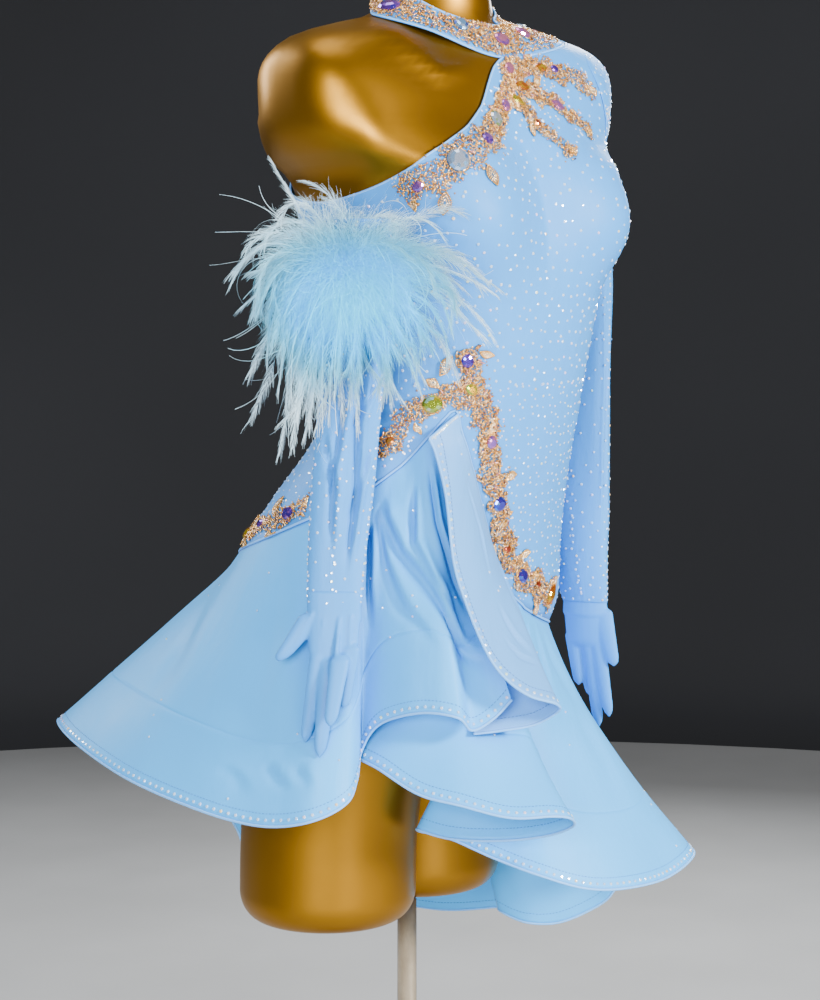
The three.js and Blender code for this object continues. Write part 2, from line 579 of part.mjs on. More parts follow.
// A limp hand: a flattened palm and fingers, their two layers lying on each other. Each row is
// its root and tip in the hand's own frame (x across the palm, z up, y to the front), its widths
// there and its thickness: first the palm, then the thumb and the four fingers.
const HAND = [
  { x0: 0, z0: 0, x1: 1, z1: -62, y0: 0, y1: 10, wide0: 42, wide1: 46, thick: 9 },
  { x0: -16, z0: -20, x1: -40, z1: -66, y0: 2, y1: 6, wide0: 20, wide1: 10, thick: 7 },
  { x0: -16, z0: -52, x1: -27, z1: -116, y0: 8, y1: 22, wide0: 16, wide1: 9, thick: 6 },
  { x0: -5, z0: -54, x1: -12, z1: -132, y0: 9, y1: 31, wide0: 17, wide1: 9, thick: 6 },
  { x0: 6, z0: -54, x1: 3, z1: -100, y0: 11, y1: 32, wide0: 17, wide1: 9, thick: 6 },
  { x0: 16, z0: -50, x1: 15, z1: -88, y0: 9, y1: 22, wide0: 15, wide1: 8, thick: 6 },
];
const HAND_SIDES = 6;

function fingerSolid(finger, lean) {
  const steps = 4;
  const rings = Array.from({ length: steps + 1 }, (_, step) => {
    const t = step / steps;
    const tip = step === steps ? 0.45 : 1;
    const wide = (finger.wide0 + (finger.wide1 - finger.wide0) * t) * tip / 2;
    const thick = finger.thick * tip / 2;
    const x = finger.x0 + (finger.x1 - finger.x0) * t;
    const y = (finger.y0 + (finger.y1 - finger.y0) * t ** 1.3) * lean;
    const z = finger.z0 + (finger.z1 - finger.z0) * t;
    return Array.from({ length: HAND_SIDES }, (__, side) => {
      const angle = (side + 0.5) * 2 * Math.PI / HAND_SIDES;
      return new THREE.Vector3(x + wide * Math.cos(angle), y + thick * Math.sin(angle), z);
    });
  });
  return toSolid(ringSolid(rings));
}

function buildGlove(name, { mirror, place, turn, lean }) {
  let hand = fingerSolid(HAND[0], lean);
  for (const finger of HAND.slice(1)) hand = hand.add(fingerSolid(finger, lean));
  const geometry = fromSolid(hand);
  const frame = new THREE.Matrix4().makeRotationZ(turn * DEG).setPosition(place);
  frame.multiply(new THREE.Matrix4().makeScale(mirror ? -1 : 1, -1, 1));
  geometry.applyMatrix4(frame);
  if (!mirror) geometry.index.array.reverse();
  addPiece(name, geometry, BLUE);
}

function buildSleeves() {
  const left = (out) => tubeRings(leftSleeveRing, LEFT_SLEEVE.length, 14, out);
  addPiece('left_sleeve', layeredSolid(left(0), left(-CLOTH), true), BLUE);
  const right = (out) => tubeRings(rightSleeveRing, RIGHT_SLEEVE.length, 9, out);
  addPiece('right_sleeve', layeredSolid(right(0), right(-CLOTH), true), BLUE);
  const rightWrist = RIGHT_SLEEVE.at(-1);
  buildGlove('right_glove', {
    mirror: false,
    place: new THREE.Vector3(rightWrist.x, rightWrist.y, rightWrist.z - GAP),
    turn: SLEEVE_FACING,
    lean: 1,
  });
  const leftWrist = LEFT_SLEEVE.at(-1);
  buildGlove('left_glove', {
    mirror: true,
    place: new THREE.Vector3(195, leftWrist.midY, leftWrist.outZ - GAP),
    turn: SLEEVE_FACING - 15,
    lean: -0.35,
  });
}

// ---- feather cuff ----

const CUFF = { fromRow: 0.15, toRow: 0.95, lift: GAP };
const PLUME_CENTRE = { x: -183, y: -112, z: 1147 };
const PLUME_DEPTH = { front: 44, back: 40 };

// How far the feathers reach, by direction: degrees up from the wearer's left, seen from the
// sleeve's flat side.
const PLUMES = [
  { aim: -180, reach: 94 }, { aim: -150, reach: 108 }, { aim: -125, reach: 132 },
  { aim: -112, reach: 146 }, { aim: -98, reach: 116 }, { aim: -65, reach: 88 },
  { aim: -30, reach: 100 }, { aim: 0, reach: 112 }, { aim: 20, reach: 108 },
  { aim: 45, reach: 84 }, { aim: 75, reach: 72 }, { aim: 100, reach: 94 }, { aim: 120, reach: 90 },
  { aim: 140, reach: 88 }, { aim: 155, reach: 98 }, { aim: 180, reach: 94 },
];

function plumeReach(aim) {
  let index = 0;
  while (index < PLUMES.length - 2 && PLUMES[index + 1].aim < aim) index += 1;
  const span = PLUMES[index + 1].aim - PLUMES[index].aim;
  return rowAt(PLUMES, index + (aim - PLUMES[index].aim) / span).reach;
}

function plumeSolid() {
  const flat = new THREE.Vector3(Math.cos(SLEEVE_FACING * DEG), Math.sin(SLEEVE_FACING * DEG), 0);
  const face = new THREE.Vector3(Math.sin(SLEEVE_FACING * DEG), -Math.cos(SLEEVE_FACING * DEG), 0);
  const [sides, steps] = [20, 6];
  const rings = Array.from({ length: steps + 1 }, (_, step) => {
    const tilt = -80 + 160 * step / steps;
    const depth = tilt < 0 ? PLUME_DEPTH.back : PLUME_DEPTH.front;
    return Array.from({ length: sides }, (__, side) => {
      const aim = side * 360 / sides - 180;
      const reach = plumeReach(aim) * Math.cos(tilt * DEG);
      return new THREE.Vector3(PLUME_CENTRE.x, PLUME_CENTRE.y, PLUME_CENTRE.z)
        .addScaledVector(flat, reach * Math.cos(aim * DEG))
        .addScaledVector(face, depth * Math.sin(tilt * DEG))
        .add(new THREE.Vector3(0, 0, reach * Math.sin(aim * DEG)));
    });
  });
  return toSolid(ringSolid(rings));
}

// The sleeve as a solid core, to keep the feathers clear of it.
function sleeveCore(out) {
  const rings = Array.from({ length: 11 }, (_, step) => (
    Array.from({ length: SLEEVE_SIDES }, (__, side) => {
      const row = Math.max(step - 1, 0) * 0.5;
      const point = rightSleeveRing(row, side * 2 * Math.PI / SLEEVE_SIDES, out);
      if (step === 0) point.z += 110;
      return point;
    })));
  return toSolid(ringSolid(rings));
}

function buildFeathers() {
  const cuffRing = (out) => Array.from({ length: SLEEVE_SIDES }, (_, side) => (
    Array.from({ length: 3 }, (__, step) => (
      rightSleeveRing(
        CUFF.fromRow + (CUFF.toRow - CUFF.fromRow) * step / 2,
        side * 2 * Math.PI / SLEEVE_SIDES,
        out,
      )))));
  const cuff = layeredSolid(cuffRing(2 * CUFF.lift + CLOTH), cuffRing(2 * CUFF.lift), true);
  addPiece('cuff_band', cuff, BLUE);
  const bodyCore = toSolid(formSolid(EASE + CLOTH + 1.4, 960, 1330, 24));
  const feathers = plumeSolid().subtract(sleeveCore(CLOTH + 3 * GAP + 0.4)).subtract(bodyCore);
  const pieces = feathers.decompose().sort((a, b) => b.volume() - a.volume());
  addPiece('feather_trim', fromSolid(pieces[0]), FEATHER);
}

// ---- beaded trim ----

// Each trim's middle line on the bodice, its half width and its lift above the cloth.
const TRIMS = {
  trim_neckline: {
    half: 11,
    lift: 1.9,
    line: [
      { turn: 3, z: 1320 }, { turn: 0, z: 1306 }, { turn: -5, z: 1290 }, { turn: -17, z: 1269 },
      { turn: -34, z: 1247 }, { turn: -48, z: 1228 }, { turn: -57, z: 1214 },
    ],
  },
  trim_shoulder_upper: {
    half: 8,
    lift: 0.9,
    line: [{ turn: 17, z: 1321 }, { turn: 34, z: 1325 }, { turn: 50, z: 1323 }, { turn: 62, z: 1309 }],
  },
  trim_shoulder_middle: {
    half: 8,
    lift: 0.9,
    line: [{ turn: 12, z: 1301 }, { turn: 26, z: 1301 }, { turn: 39, z: 1289 }, { turn: 48, z: 1271 }],
  },
  trim_shoulder_lower: {
    half: 8,
    lift: 0.9,
    line: [{ turn: 9, z: 1282 }, { turn: 17, z: 1272 }, { turn: 24, z: 1251 }],
  },
  trim_waist: {
    half: 11,
    lift: 2.5,
    line: [
      { turn: -47, z: 1088 }, { turn: -45, z: 1066 }, { turn: -38, z: 1038 }, { turn: -27, z: 1008 },
      { turn: -20, z: 977 }, { turn: -9, z: 948 }, { turn: 6, z: 896 }, { turn: 26, z: 866 },
      { turn: 44, z: 850 },
    ],
  },
  trim_waist_side: {
    half: 10,
    lift: 0.9,
    line: [{ turn: -55, z: 1040 }, { turn: -66, z: 1024 }, { turn: -70, z: 996 }],
  },
  trim_hip: {
    half: 9,
    lift: 1.0,
    line: [{ turn: -120, z: 911 }, { turn: -105, z: 925 }, { turn: -90, z: 941 }],
  },
};
const BODY_RADIUS = 125;       // to turn widths on the bodice into turns
const TRIM_STEP = 1.8;         // grid steps to each point of a trim's line

function trimPoint(trim, s, t, out) {
  const last = trim.line.length - 1;
  const here = rowAt(trim.line, s * last);
  const ahead = rowAt(trim.line, Math.min(s * last + 0.05, last));
  const behind = rowAt(trim.line, Math.max(s * last - 0.05, 0));
  const along = new THREE.Vector2(
    (ahead.turn - behind.turn) * DEG * BODY_RADIUS,
    ahead.z - behind.z,
  ).normalize();
  const side = trim.half * (2 * t - 1);
  const turn = here.turn - side * along.y / (BODY_RADIUS * DEG);
  return onForm(turn, here.z + side * along.x, out);
}

function buildTrims() {
  for (const [name, trim] of Object.entries(TRIMS)) {
    const foot = EASE + CLOTH + trim.lift;
    const steps = Math.ceil(trim.line.length * TRIM_STEP);
    const layer = (out) => gridOf(steps, 2, (s, t) => trimPoint(trim, s, t, out));
    addPiece(name, layeredSolid(layer(foot + TRIM), layer(foot)), TRIM_GOLD);
  }
  const onCollar = (out) => gridOf(21, 2, (s, t) => collarPoint(252 * s - 132, t, out));
  const collarOut = CLOTH + 2 * GAP;
  addPiece('trim_collar', layeredSolid(onCollar(collarOut + TRIM), onCollar(collarOut)), TRIM_GOLD);
}

buildStand();
buildBodice();
buildCollar();
buildSkirt();
buildSleeves();
buildFeathers();
buildTrims();

export default part;
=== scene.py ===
"""Latin dance dress with one feather-cuffed glove sleeve, on its gold dress form.

Tables and sizes are millimetres in the part's frame, and meshes are made in metres.
The wearer faces -Y, and the wearer's left is +X. A turn is in degrees from the front to the left.
"""
import math

import bpy
import numpy as np
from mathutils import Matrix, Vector


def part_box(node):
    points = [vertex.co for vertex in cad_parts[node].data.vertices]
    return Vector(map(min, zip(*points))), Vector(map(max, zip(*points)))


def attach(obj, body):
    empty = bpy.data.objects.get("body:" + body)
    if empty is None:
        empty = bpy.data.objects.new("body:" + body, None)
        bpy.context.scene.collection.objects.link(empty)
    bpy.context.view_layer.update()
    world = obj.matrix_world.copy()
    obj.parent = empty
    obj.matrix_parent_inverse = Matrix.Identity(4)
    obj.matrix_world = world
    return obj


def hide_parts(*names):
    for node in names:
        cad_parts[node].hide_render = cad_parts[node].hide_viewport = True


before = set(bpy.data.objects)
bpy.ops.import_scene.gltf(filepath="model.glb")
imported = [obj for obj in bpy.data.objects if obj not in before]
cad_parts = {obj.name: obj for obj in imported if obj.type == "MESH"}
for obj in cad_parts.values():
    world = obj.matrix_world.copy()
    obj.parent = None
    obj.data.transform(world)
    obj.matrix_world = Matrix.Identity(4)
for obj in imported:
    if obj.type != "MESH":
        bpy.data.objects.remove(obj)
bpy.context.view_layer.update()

MM = 0.001
rng = np.random.default_rng(7)

# ---- driving dimensions, in millimetres ----
EASE = 1.4                     # off the form, before the cloth's thickness
CLOTH = 1.6                    # thickness of the cloth in the CAD
WALL = 1.3                     # cloth wall as rendered
CAP_LIFT = 1.4                 # the bodice to the sleeve's top
COLLAR_EASE = 0.6
COLLAR_SIDE = 1370             # lower edge of the collar at the side
COLLAR_DROP = 37               # and how far that edge falls at the front
COLLAR_RISE = 20               # and rises at the back
COLLAR_HEIGHT = 30
HEM_BAND = 70                  # hem to the seam of the hem band
SEAM_DROP = 1.1                # the bodice's edge to the skirt's top
OVERLAY_LIFT = 2.7             # the overlay's top over the skirt's
ARMHOLE_X = 157.5              # no stones lie on the bodice past here, under the sleeve
ARMPIT_Z = 1219
FORM_FOOT = 566
FORM_TOP = 1440
FOOT_ROUND = 26
FOOT_INSET = 20
NECK_ROUND = 8
STONE_GAP = 7.4                # between the stones along a hem
STITCH_GAP = 3.4
STITCH_RISE = 10.5             # the hem to its stitches
BEAD_GAP = 1.85
TURN = 2 * math.pi


# ---- camera ----

def look_at(thing, target):
    thing.rotation_euler = (target - thing.location).to_track_quat("-Z", "Y").to_euler()


def add_camera():
    """The photograph's viewpoint, in metres and degrees."""
    azimuth, elevation, distance = math.radians(-45), math.radians(5), 2.0
    back = Vector((math.sin(azimuth) * math.cos(elevation),
                   -math.cos(azimuth) * math.cos(elevation), math.sin(elevation)))
    target = Vector((0.002, -0.002, 0.940))
    data = bpy.data.cameras.new("camera")
    data.sensor_fit = "VERTICAL"
    data.sensor_height = 24
    data.lens = 52.17
    camera = bpy.data.objects.new("camera", data)
    camera.location = target + back * distance
    bpy.context.scene.collection.objects.link(camera)
    look_at(camera, target)
    bpy.context.scene.camera = camera


add_camera()

# ---- tables ----

# Sections of the form: height, centre x and y, half width, half depths to the front and back,
# squareness, and how far it splits into two lobes.
FORM = np.array([
    (566, -18, 27, 160, 100, 100, 2.0, 1.0), (640, -17, 26, 160, 104, 104, 2.0, 1.0),
    (720, -14, 20, 162, 110, 112, 2.1, 0.8), (800, -8, 12, 163, 116, 120, 2.2, 0.3),
    (850, -2, 8, 163, 118, 122, 2.2, 0.0), (895, 0, 4, 160, 116, 120, 2.2, 0.0),
    (945, 2, -18, 143, 106, 110, 2.2, 0.0), (1000, 6, -44, 124, 96, 96, 2.2, 0.0),
    (1060, 10, -64, 115, 90, 88, 2.2, 0.0), (1130, 8, -60, 133, 102, 96, 2.2, 0.0),
    (1190, 4, -52, 146, 106, 102, 2.2, 0.0), (1225, 0, -46, 154, 105, 99, 2.3, 0.0),
    (1242, -3, -44, 171, 102, 96, 2.6, 0.0), (1265, -10, -43, 178, 96, 91, 2.8, 0.0),
    (1295, -5, -42, 188, 85, 84, 2.9, 0.0), (1322, 3, -41, 192, 72, 75, 2.9, 0.0),
    (1342, 14, -40, 186, 62, 66, 2.4, 0.0), (1354, 26, -38, 168, 56, 60, 1.8, 0.0),
    (1362, 22, -36, 130, 52, 55, 1.6, 0.0), (1369, 0, -35, 80, 49, 52, 1.7, 0.0),
    (1380, 0, -34, 59, 48, 50, 1.9, 0.0), (1405, 0, -34, 51, 48, 49, 2.0, 0.0),
    (1440, 0, -37, 50, 48, 48, 2.0, 0.0),
], float)
LOBE = {"offset": 72, "radius": 80, "turn": 11, "groove": 36}
BUST = {"z": 1203, "turn": 37, "spread": 23, "height": 55, "round": 2.6, "form": 31, "dress": 36}

# Edges of the bodice: turn and height.
NECKLINE = np.array([
    (-180, 1389.1), (-172, 1362), (-164, 1326), (-153, 1284), (-138, 1248), (-120, 1222),
    (-105, 1210), (-90, 1205), (-74, 1212), (-60, 1225), (-45, 1247), (-32, 1266), (-22, 1286),
    (-16, 1305), (-9, 1322), (0, 1331.5), (16, 1333.6), (42, 1341.6), (66, 1354.1), (90, 1369.1),
    (120, 1379.2), (150, 1386.5), (180, 1389.1),
], float)
SEAM = np.array([
    (-180, 862), (-157, 874), (-135, 887), (-118, 897), (-102, 910), (-85, 932), (-70, 956),
    (-60, 984), (-54, 1010), (-48, 1030), (-42, 1012), (-32, 984), (-20, 950), (-7, 911),
    (6, 868), (20, 848), (42, 832), (66, 820), (90, 814), (112, 816), (135, 826), (158, 844),
    (180, 862),
], float)

# Folds of the skirt layers: turn of the seam, turn, reach and height of the hem, and flare.
RIGHT_SKIRT = np.array([
    (-179, -178, 222, 562, 1), (-171, -172, 212, 602, 1), (-162, -163, 225, 648, 1),
    (-152, -153, 262, 678, 1), (-142, -145, 300, 710, 1), (-132, -138, 327, 733, 1),
    (-122, -121, 296, 720, 1), (-112, -109, 274, 707, 1), (-103, -96, 256, 696, 1),
    (-94, -83, 242, 686, 1), (-86, -73, 238, 685, 1), (-79, -64, 235, 693, 1),
    (-74, -58, 216, 706, 1), (-70, -57, 197, 722, 1), (-67, -57, 183, 743, 1),
    (-63, -52, 189, 767, 1), (-59, -42, 206, 780, 1), (-56, -34, 219, 778, 1),
    (-53, -30, 211, 765, 1.1), (-51, -25, 212, 774, 1.4), (-46.8, -21, 216, 790, 1.7),
], float)
OVERLAY = np.array([
    (-46, -38, 159, 1006, 1), (-43, -36, 162, 992, 1), (-39, -34, 176, 958, 1),
    (-33, -33, 194, 904, 1), (-27, -31, 206, 872, 1), (-21, -28, 221, 836, 1),
    (-16, -25, 232, 814, 1), (-11, -20, 240, 797, 1), (-7, -13, 237, 787, 1),
    (-4, -11, 228, 778, 1.1), (-2, -14, 210, 765, 0.9), (-1, -21, 197, 760, 0.75),
    (0, -28, 192, 758, 0.65),
], float)
LEFT_SKIRT = np.array([
    (-44, -62, 168, 738, 2.1), (-42, -59, 175, 735, 2.1), (-38, -52, 187, 728, 2.1),
    (-32, -42, 205, 711, 2.1), (-25, -33, 220, 704, 2.1), (-17, -23, 232, 694, 2.1),
    (-10, -14, 237, 692, 2.1), (-5, -9, 236, 687, 2.1), (-2, -6, 224, 676, 2.1),
    (0, -8, 198, 664, 2.1), (2, -17, 166, 657, 2.1), (4, -30, 143, 657, 1.4),
    (6, -40, 124, 661, 1.4), (8, -38, 106, 655, 1.4), (11, -27, 94, 648, 1.4),
    (15, -18, 106, 642, 1.1), (20, -8, 137, 630, 1.1), (26, -1, 165, 620, 1.1),
    (34, 10, 192, 606, 1.1), (42, 20, 213, 600, 1.1), (52, 35, 243, 598, 1.1),
    (62, 48, 270, 604, 1.3), (72, 60, 275, 598, 1.3), (82, 70, 262, 575, 1.3),
    (90, 76, 248, 548, 1.3), (97, 80, 238, 524, 1.3), (104, 87, 209, 504, 1.3),
    (110, 95, 188, 502, 1.3), (115, 104, 184, 510, 1.3), (120, 106, 203, 510, 1.3),
    (126, 102, 242, 504, 1.3), (132, 104, 270, 498, 1.3), (140, 114, 272, 488, 1.3),
    (149, 128, 255, 485, 1.3), (158, 145, 262, 500, 1.3), (168, 160, 275, 525, 1.3),
    (179, 177, 240, 552, 1.3),
], float)

# Left sleeve: inner and outer edge of each ring (x, z, x, z), middle y, half depth and yaw.
LEFT_SLEEVE = np.array([
    (158, 1223, 158, 1355, -42, 78, 0), (161.5, 1221, 181, 1345, -42, 75, 0),
    (164, 1218, 194, 1316, -42, 66, 0), (164, 1209, 198, 1270, -42, 54, 2),
    (167, 1188, 198, 1206, -41, 43, 6), (173, 1130, 198, 1132, -40, 38, 14),
    (178, 1050, 199, 1050, -38, 36, 18), (179, 960, 200, 960, -38, 35, 18),
    (182, 890, 202, 890, -41, 31.5, 18), (187.8, 832, 202.2, 832, -49.5, 23, 18),
], float)
# Right sleeve: middle of each ring, half width and half thickness.
RIGHT_SLEEVE = np.array([
    (-168, -112, 1188, 27, 18), (-166, -108, 1152, 29, 17), (-161, -100, 1115, 31, 14),
    (-157, -95, 1083, 29, 12), (-155, -89, 1040, 27, 11), (-157, -82, 972, 27, 10),
    (-163, -81, 918, 25, 9), (-172, -86, 866, 23, 7.2),
], float)
SLEEVE_FACING = -45
SLEEVE_SQUARE = 3.0

# A limp hand: root x and z, tip x and z, root and tip forward, widths, and thicknesses.
HAND = [
    (0, 15, 0, -17, 0, 1, 44.5, 47.6, 12.6, 15.6), (0, 0, -1, -46, 0, 8, 46, 41, 14.4, 10),
    (-11, -34, -24, -113, 7, 15, 18, 11, 9, 5),
    (-3, -38, -12, -124, 9, 24, 18, 11, 9, 5.5), (6, -38, -3, -96, 14, 33, 18, 11, 8, 5.5),
    (14, -30, 8, -84, 8, 16, 18, 11, 8, 5), (-8, -4, -15, -84, 5, 13, 5, 4, 6, 4),
    (5, -4, -1, -72, 5.5, 21, 5, 4, 6, 4), (14, -4, 12, -52, 4.5, 12, 5, 4, 6, 4),
]
# Creases: width and depth in mm, how much of the line each end fades over, and the line.
# On the skirt a line is of table rows and shares down the cloth; on the bodice, of turns and heights.
RIGHT_CREASES = [
    (5.0, 6.4, 0.1, 0.3, [(14.3, 0.06), (15.5, 0.35), (16.7, 0.57), (17.8, 0.72), (19.3, 0.84)]),
    (4.0, 4.0, 0.1, 0.5, [(14.2, 0.10), (14.9, 0.36), (15.6, 0.58), (16.8, 0.80)]),
    (4.5, 3.4, 0.1, 0.6, [(13.9, 0.12), (14.0, 0.40), (14.4, 0.62)]),
    (3.6, 4.6, 0.2, 0.4, [(16.2, 0.08), (16.0, 0.34), (16.7, 0.50), (18.0, 0.68)]),
    (3.6, 3.6, 0.2, 0.4, [(17.2, 0.06), (17.3, 0.30), (18.2, 0.52), (19.2, 0.70)]),
    (9.0, 3.0, 0.3, 0.5, [(10.4, 0.18), (10.7, 0.50), (10.6, 0.78)]),
    (8.0, 2.6, 0.3, 0.5, [(11.3, 0.22), (11.5, 0.55), (11.3, 0.80)]),
    (10.0, 2.2, 0.4, 0.5, [(9.4, 0.16), (9.2, 0.50), (8.9, 0.76)]),
    (3.6, 2.0, 0.3, 0.4, [(9.6, 0.79), (9.9, 0.84), (10.4, 0.90)]),
    (3.6, 1.9, 0.3, 0.4, [(10.4, 0.81), (10.6, 0.85), (10.9, 0.90)]),
    (4.0, 1.2, 0.3, 0.4, [(8.6, 0.82), (9.0, 0.86), (9.2, 0.92)]),
    (8.0, 2.2, 0.3, 0.5, [(6.2, 0.15), (6.6, 0.5), (6.4, 0.8)]),
    (8.0, 2.4, 0.3, 0.5, [(3.4, 0.12), (3.1, 0.5), (3.6, 0.82)]),
    (7.0, 2.0, 0.3, 0.5, [(1.6, 0.15), (1.3, 0.5), (1.1, 0.8)]),
]
LEFT_CREASES = [
    (4.0, 2.4, 0.2, 0.6, [(15.4, 0.02), (15.2, 0.18), (15.4, 0.34)]),
    (4.0, 2.6, 0.2, 0.6, [(16.6, 0.02), (16.8, 0.16), (17.2, 0.36)]),
    (4.0, 2.4, 0.2, 0.6, [(17.6, 0.02), (18.0, 0.16), (18.7, 0.40)]),
    (4.5, 2.2, 0.2, 0.6, [(18.6, 0.02), (19.3, 0.20), (20.0, 0.46)]),
    (6.0, 2.0, 0.3, 0.6, [(13.0, 0.10), (13.2, 0.40), (12.6, 0.66)]),
    (7.0, 2.4, 0.3, 0.5, [(19.4, 0.30), (19.8, 0.55), (19.6, 0.80)]),
    (7.0, 2.4, 0.3, 0.5, [(24.5, 0.10), (24.8, 0.45), (24.4, 0.78)]),
    (8.0, 2.6, 0.3, 0.5, [(28.6, 0.12), (28.2, 0.45), (28.8, 0.80)]),
    (8.0, 2.4, 0.3, 0.5, [(32.4, 0.10), (32.0, 0.50), (32.6, 0.84)]),
    (6.0, 2.0, 0.3, 0.5, [(5.2, 0.30), (5.6, 0.55), (6.2, 0.80)]),
]
OVERLAY_CREASES = [
    (4.0, 1.8, 0.3, 0.5, [(2.8, 0.22), (4.8, 0.25), (5.8, 0.45)]),
    (3.4, 1.9, 0.3, 0.4, [(6.3, 0.52), (6.9, 0.62), (7.7, 0.72)]),
    (3.4, 1.7, 0.3, 0.4, [(6.3, 0.72), (7.0, 0.76), (8.0, 0.77)]),
    (4.0, 1.5, 0.3, 0.5, [(7.4, 0.10), (7.8, 0.34), (8.4, 0.60)]),
]
BODICE_CREASES = [
    (5.0, -2.6, 0.3, 0.3, [(69, 1050), (48, 1011), (33, 980), (15, 944), (7, 924)]),
    (5.0, 2.0, 0.3, 0.2, [(66, 1042), (45, 1003), (30, 972), (12, 936), (4, 916)]),
    (4.5, 1.1, 0.4, 0.5, [(-34, 1090), (-18, 1094), (0, 1104)]),
    (4.0, 1.2, 0.3, 0.5, [(52, 1190), (64, 1204), (78, 1224)]),
    (5.0, 1.4, 0.3, 0.5, [(58, 1160), (72, 1168), (88, 1186)]),
    (5.0, 1.3, 0.4, 0.5, [(-60, 1180), (-48, 1168), (-34, 1164)]),
    (7.0, 2.0, 0.4, 0.5, [(-150, 1060), (-178, 1052), (-206, 1064)]),
    (6.0, 1.5, 0.4, 0.5, [(150, 1024), (176, 1018), (204, 1030)]),
    (6.0, 1.4, 0.4, 0.5, [(112, 960), (136, 930), (158, 904)]),
    (5.0, 1.2, 0.4, 0.5, [(84, 1014), (74, 970), (60, 934)]),
]
# On a sleeve a line is of degrees round it and heights.
LEFT_SLEEVE_CREASES = [
    (3.4, 2.4, 0.2, 0.2, [(300, 1190), (292, 1080), (288, 960), (284, 870)]),
    (3.0, 2.0, 0.2, 0.2, [(330, 1160), (336, 1050), (330, 930), (334, 860)]),
    (3.0, 1.8, 0.2, 0.2, [(262, 1140), (258, 1020), (252, 900)]),
    (3.4, 2.0, 0.2, 0.2, [(30, 1170), (24, 1040), (28, 900)]),
    (3.4, 2.0, 0.2, 0.2, [(80, 1180), (86, 1060), (84, 930)]),
    (3.4, 1.8, 0.2, 0.2, [(150, 1170), (140, 1040), (146, 900)]),
    (4.0, 1.4, 0.3, 0.3, [(300, 1240), (320, 1222), (345, 1212)]),
    (4.0, 1.4, 0.3, 0.3, [(60, 1240), (84, 1224), (110, 1214)]),
]
RIGHT_SLEEVE_CREASES = [
    (3.4, 4.6, 0.1, 0.2, [(66, 1100), (74, 1020), (62, 950), (72, 880)]),
    (3.0, 3.6, 0.2, 0.2, [(104, 1096), (98, 1040), (110, 980), (100, 900)]),
    (2.8, 3.4, 0.2, 0.3, [(128, 1098), (120, 1070), (96, 1048)]),
    (2.8, 3.2, 0.2, 0.3, [(52, 1092), (70, 1066), (92, 1052)]),
    (2.8, 3.0, 0.2, 0.3, [(140, 1064), (118, 1040), (100, 1026)]),
    (2.8, 2.8, 0.2, 0.3, [(44, 1056), (62, 1034), (84, 1016)]),
    (3.0, 2.6, 0.2, 0.3, [(136, 1010), (112, 980), (96, 950)]),
    (3.0, 2.6, 0.2, 0.3, [(40, 1000), (60, 962), (78, 930)]),
    (2.6, 2.0, 0.2, 0.3, [(250, 1060), (262, 980), (256, 900)]),
    (2.4, 1.6, 0.2, 0.3, [(300, 1070), (292, 1010), (300, 950)]),
    (2.2, 1.6, 0.3, 0.3, [(60, 884), (92, 876), (124, 884)]),
]
RIPPLES = [(unit_vector / np.linalg.norm(unit_vector), phase) for unit_vector, phase in
           zip(rng.normal(size=(7, 3)) * [1, 1, 0.4], rng.uniform(0, 2 * math.pi, 7))]


# ---- surfaces ----

def row_at(table, at):
    """Every column of a table at fractional rows, on smooth curves through the rows."""
    at = np.asarray(at, float)
    last = len(table) - 1
    low = np.clip(np.floor(at).astype(int), 0, last - 1)
    t = (at - low)[..., None]
    a, b, c, d = (table[np.clip(low + k, 0, last)] for k in (-1, 0, 1, 2))
    return ((2 * t**3 - 3 * t**2 + 1) * b + (t**3 - 2 * t**2 + t) * (c - a) / 2
            + (3 * t**2 - 2 * t**3) * c + (t**3 - t**2) * (d - b) / 2)


def lengths_along(points):
    """Length from the first point to each point of a line."""
    return np.concatenate([[0], np.cumsum(np.linalg.norm(np.diff(points, axis=0), axis=1))])


FINE_ROWS = np.linspace(0, len(FORM) - 1, 4000)
FINE_HEIGHTS = np.maximum.accumulate(row_at(FORM, FINE_ROWS)[:, 0])


def form_row(z):
    return np.interp(z, FINE_HEIGHTS, FINE_ROWS)


def wrapped(turn):
    return (np.asarray(turn, float) + 540) % 360 - 180


def section_point(turn, row, bust_reach):
    turn = wrapped(turn)
    z, cx, cy, half, front, back, square, lobes = np.moveaxis(row_at(FORM, row), -1, 0)
    angle = np.radians(turn)
    side = np.abs(np.sin(angle)) / half
    depth = np.abs(np.cos(angle)) / np.where(np.cos(angle) > 0, front, back)
    oval = (side**square + depth**square) ** (-1 / square)
    lobe_angle = np.radians(turn - 90 - LOBE["turn"])
    along = LOBE["offset"] * np.abs(np.cos(lobe_angle))
    across = LOBE["offset"] * np.sin(lobe_angle)
    lobe = along + np.sqrt(np.maximum(LOBE["radius"]**2 - across**2, LOBE["groove"]**2))
    lobes = np.clip(lobes, 0, 1)
    bust = bust_reach * np.exp(-((np.abs(turn) - BUST["turn"]) / BUST["spread"])**2
                               - (np.abs(z - BUST["z"]) / BUST["height"])**BUST["round"])
    radius = oval * (1 - lobes) + lobe * lobes + bust
    return np.stack([cx + radius * np.sin(angle), cy - radius * np.cos(angle), z], -1)


def unit(vectors):
    return vectors / np.maximum(np.linalg.norm(vectors, axis=-1, keepdims=True), 1e-9)


def form_point(turn, row, out, bust_reach=BUST["dress"]):
    turn, row = np.broadcast_arrays(np.asarray(turn, float), np.asarray(row, float))
    across = section_point(turn + 1, row, bust_reach) - section_point(turn - 1, row, bust_reach)
    upper = np.minimum(row + 0.05, len(FORM) - 1)
    up = section_point(turn, upper, bust_reach) - section_point(turn, upper - 0.1, bust_reach)
    normal = unit(np.cross(across, up))
    return section_point(turn, row, bust_reach) + normal * np.asarray(out)[..., None]


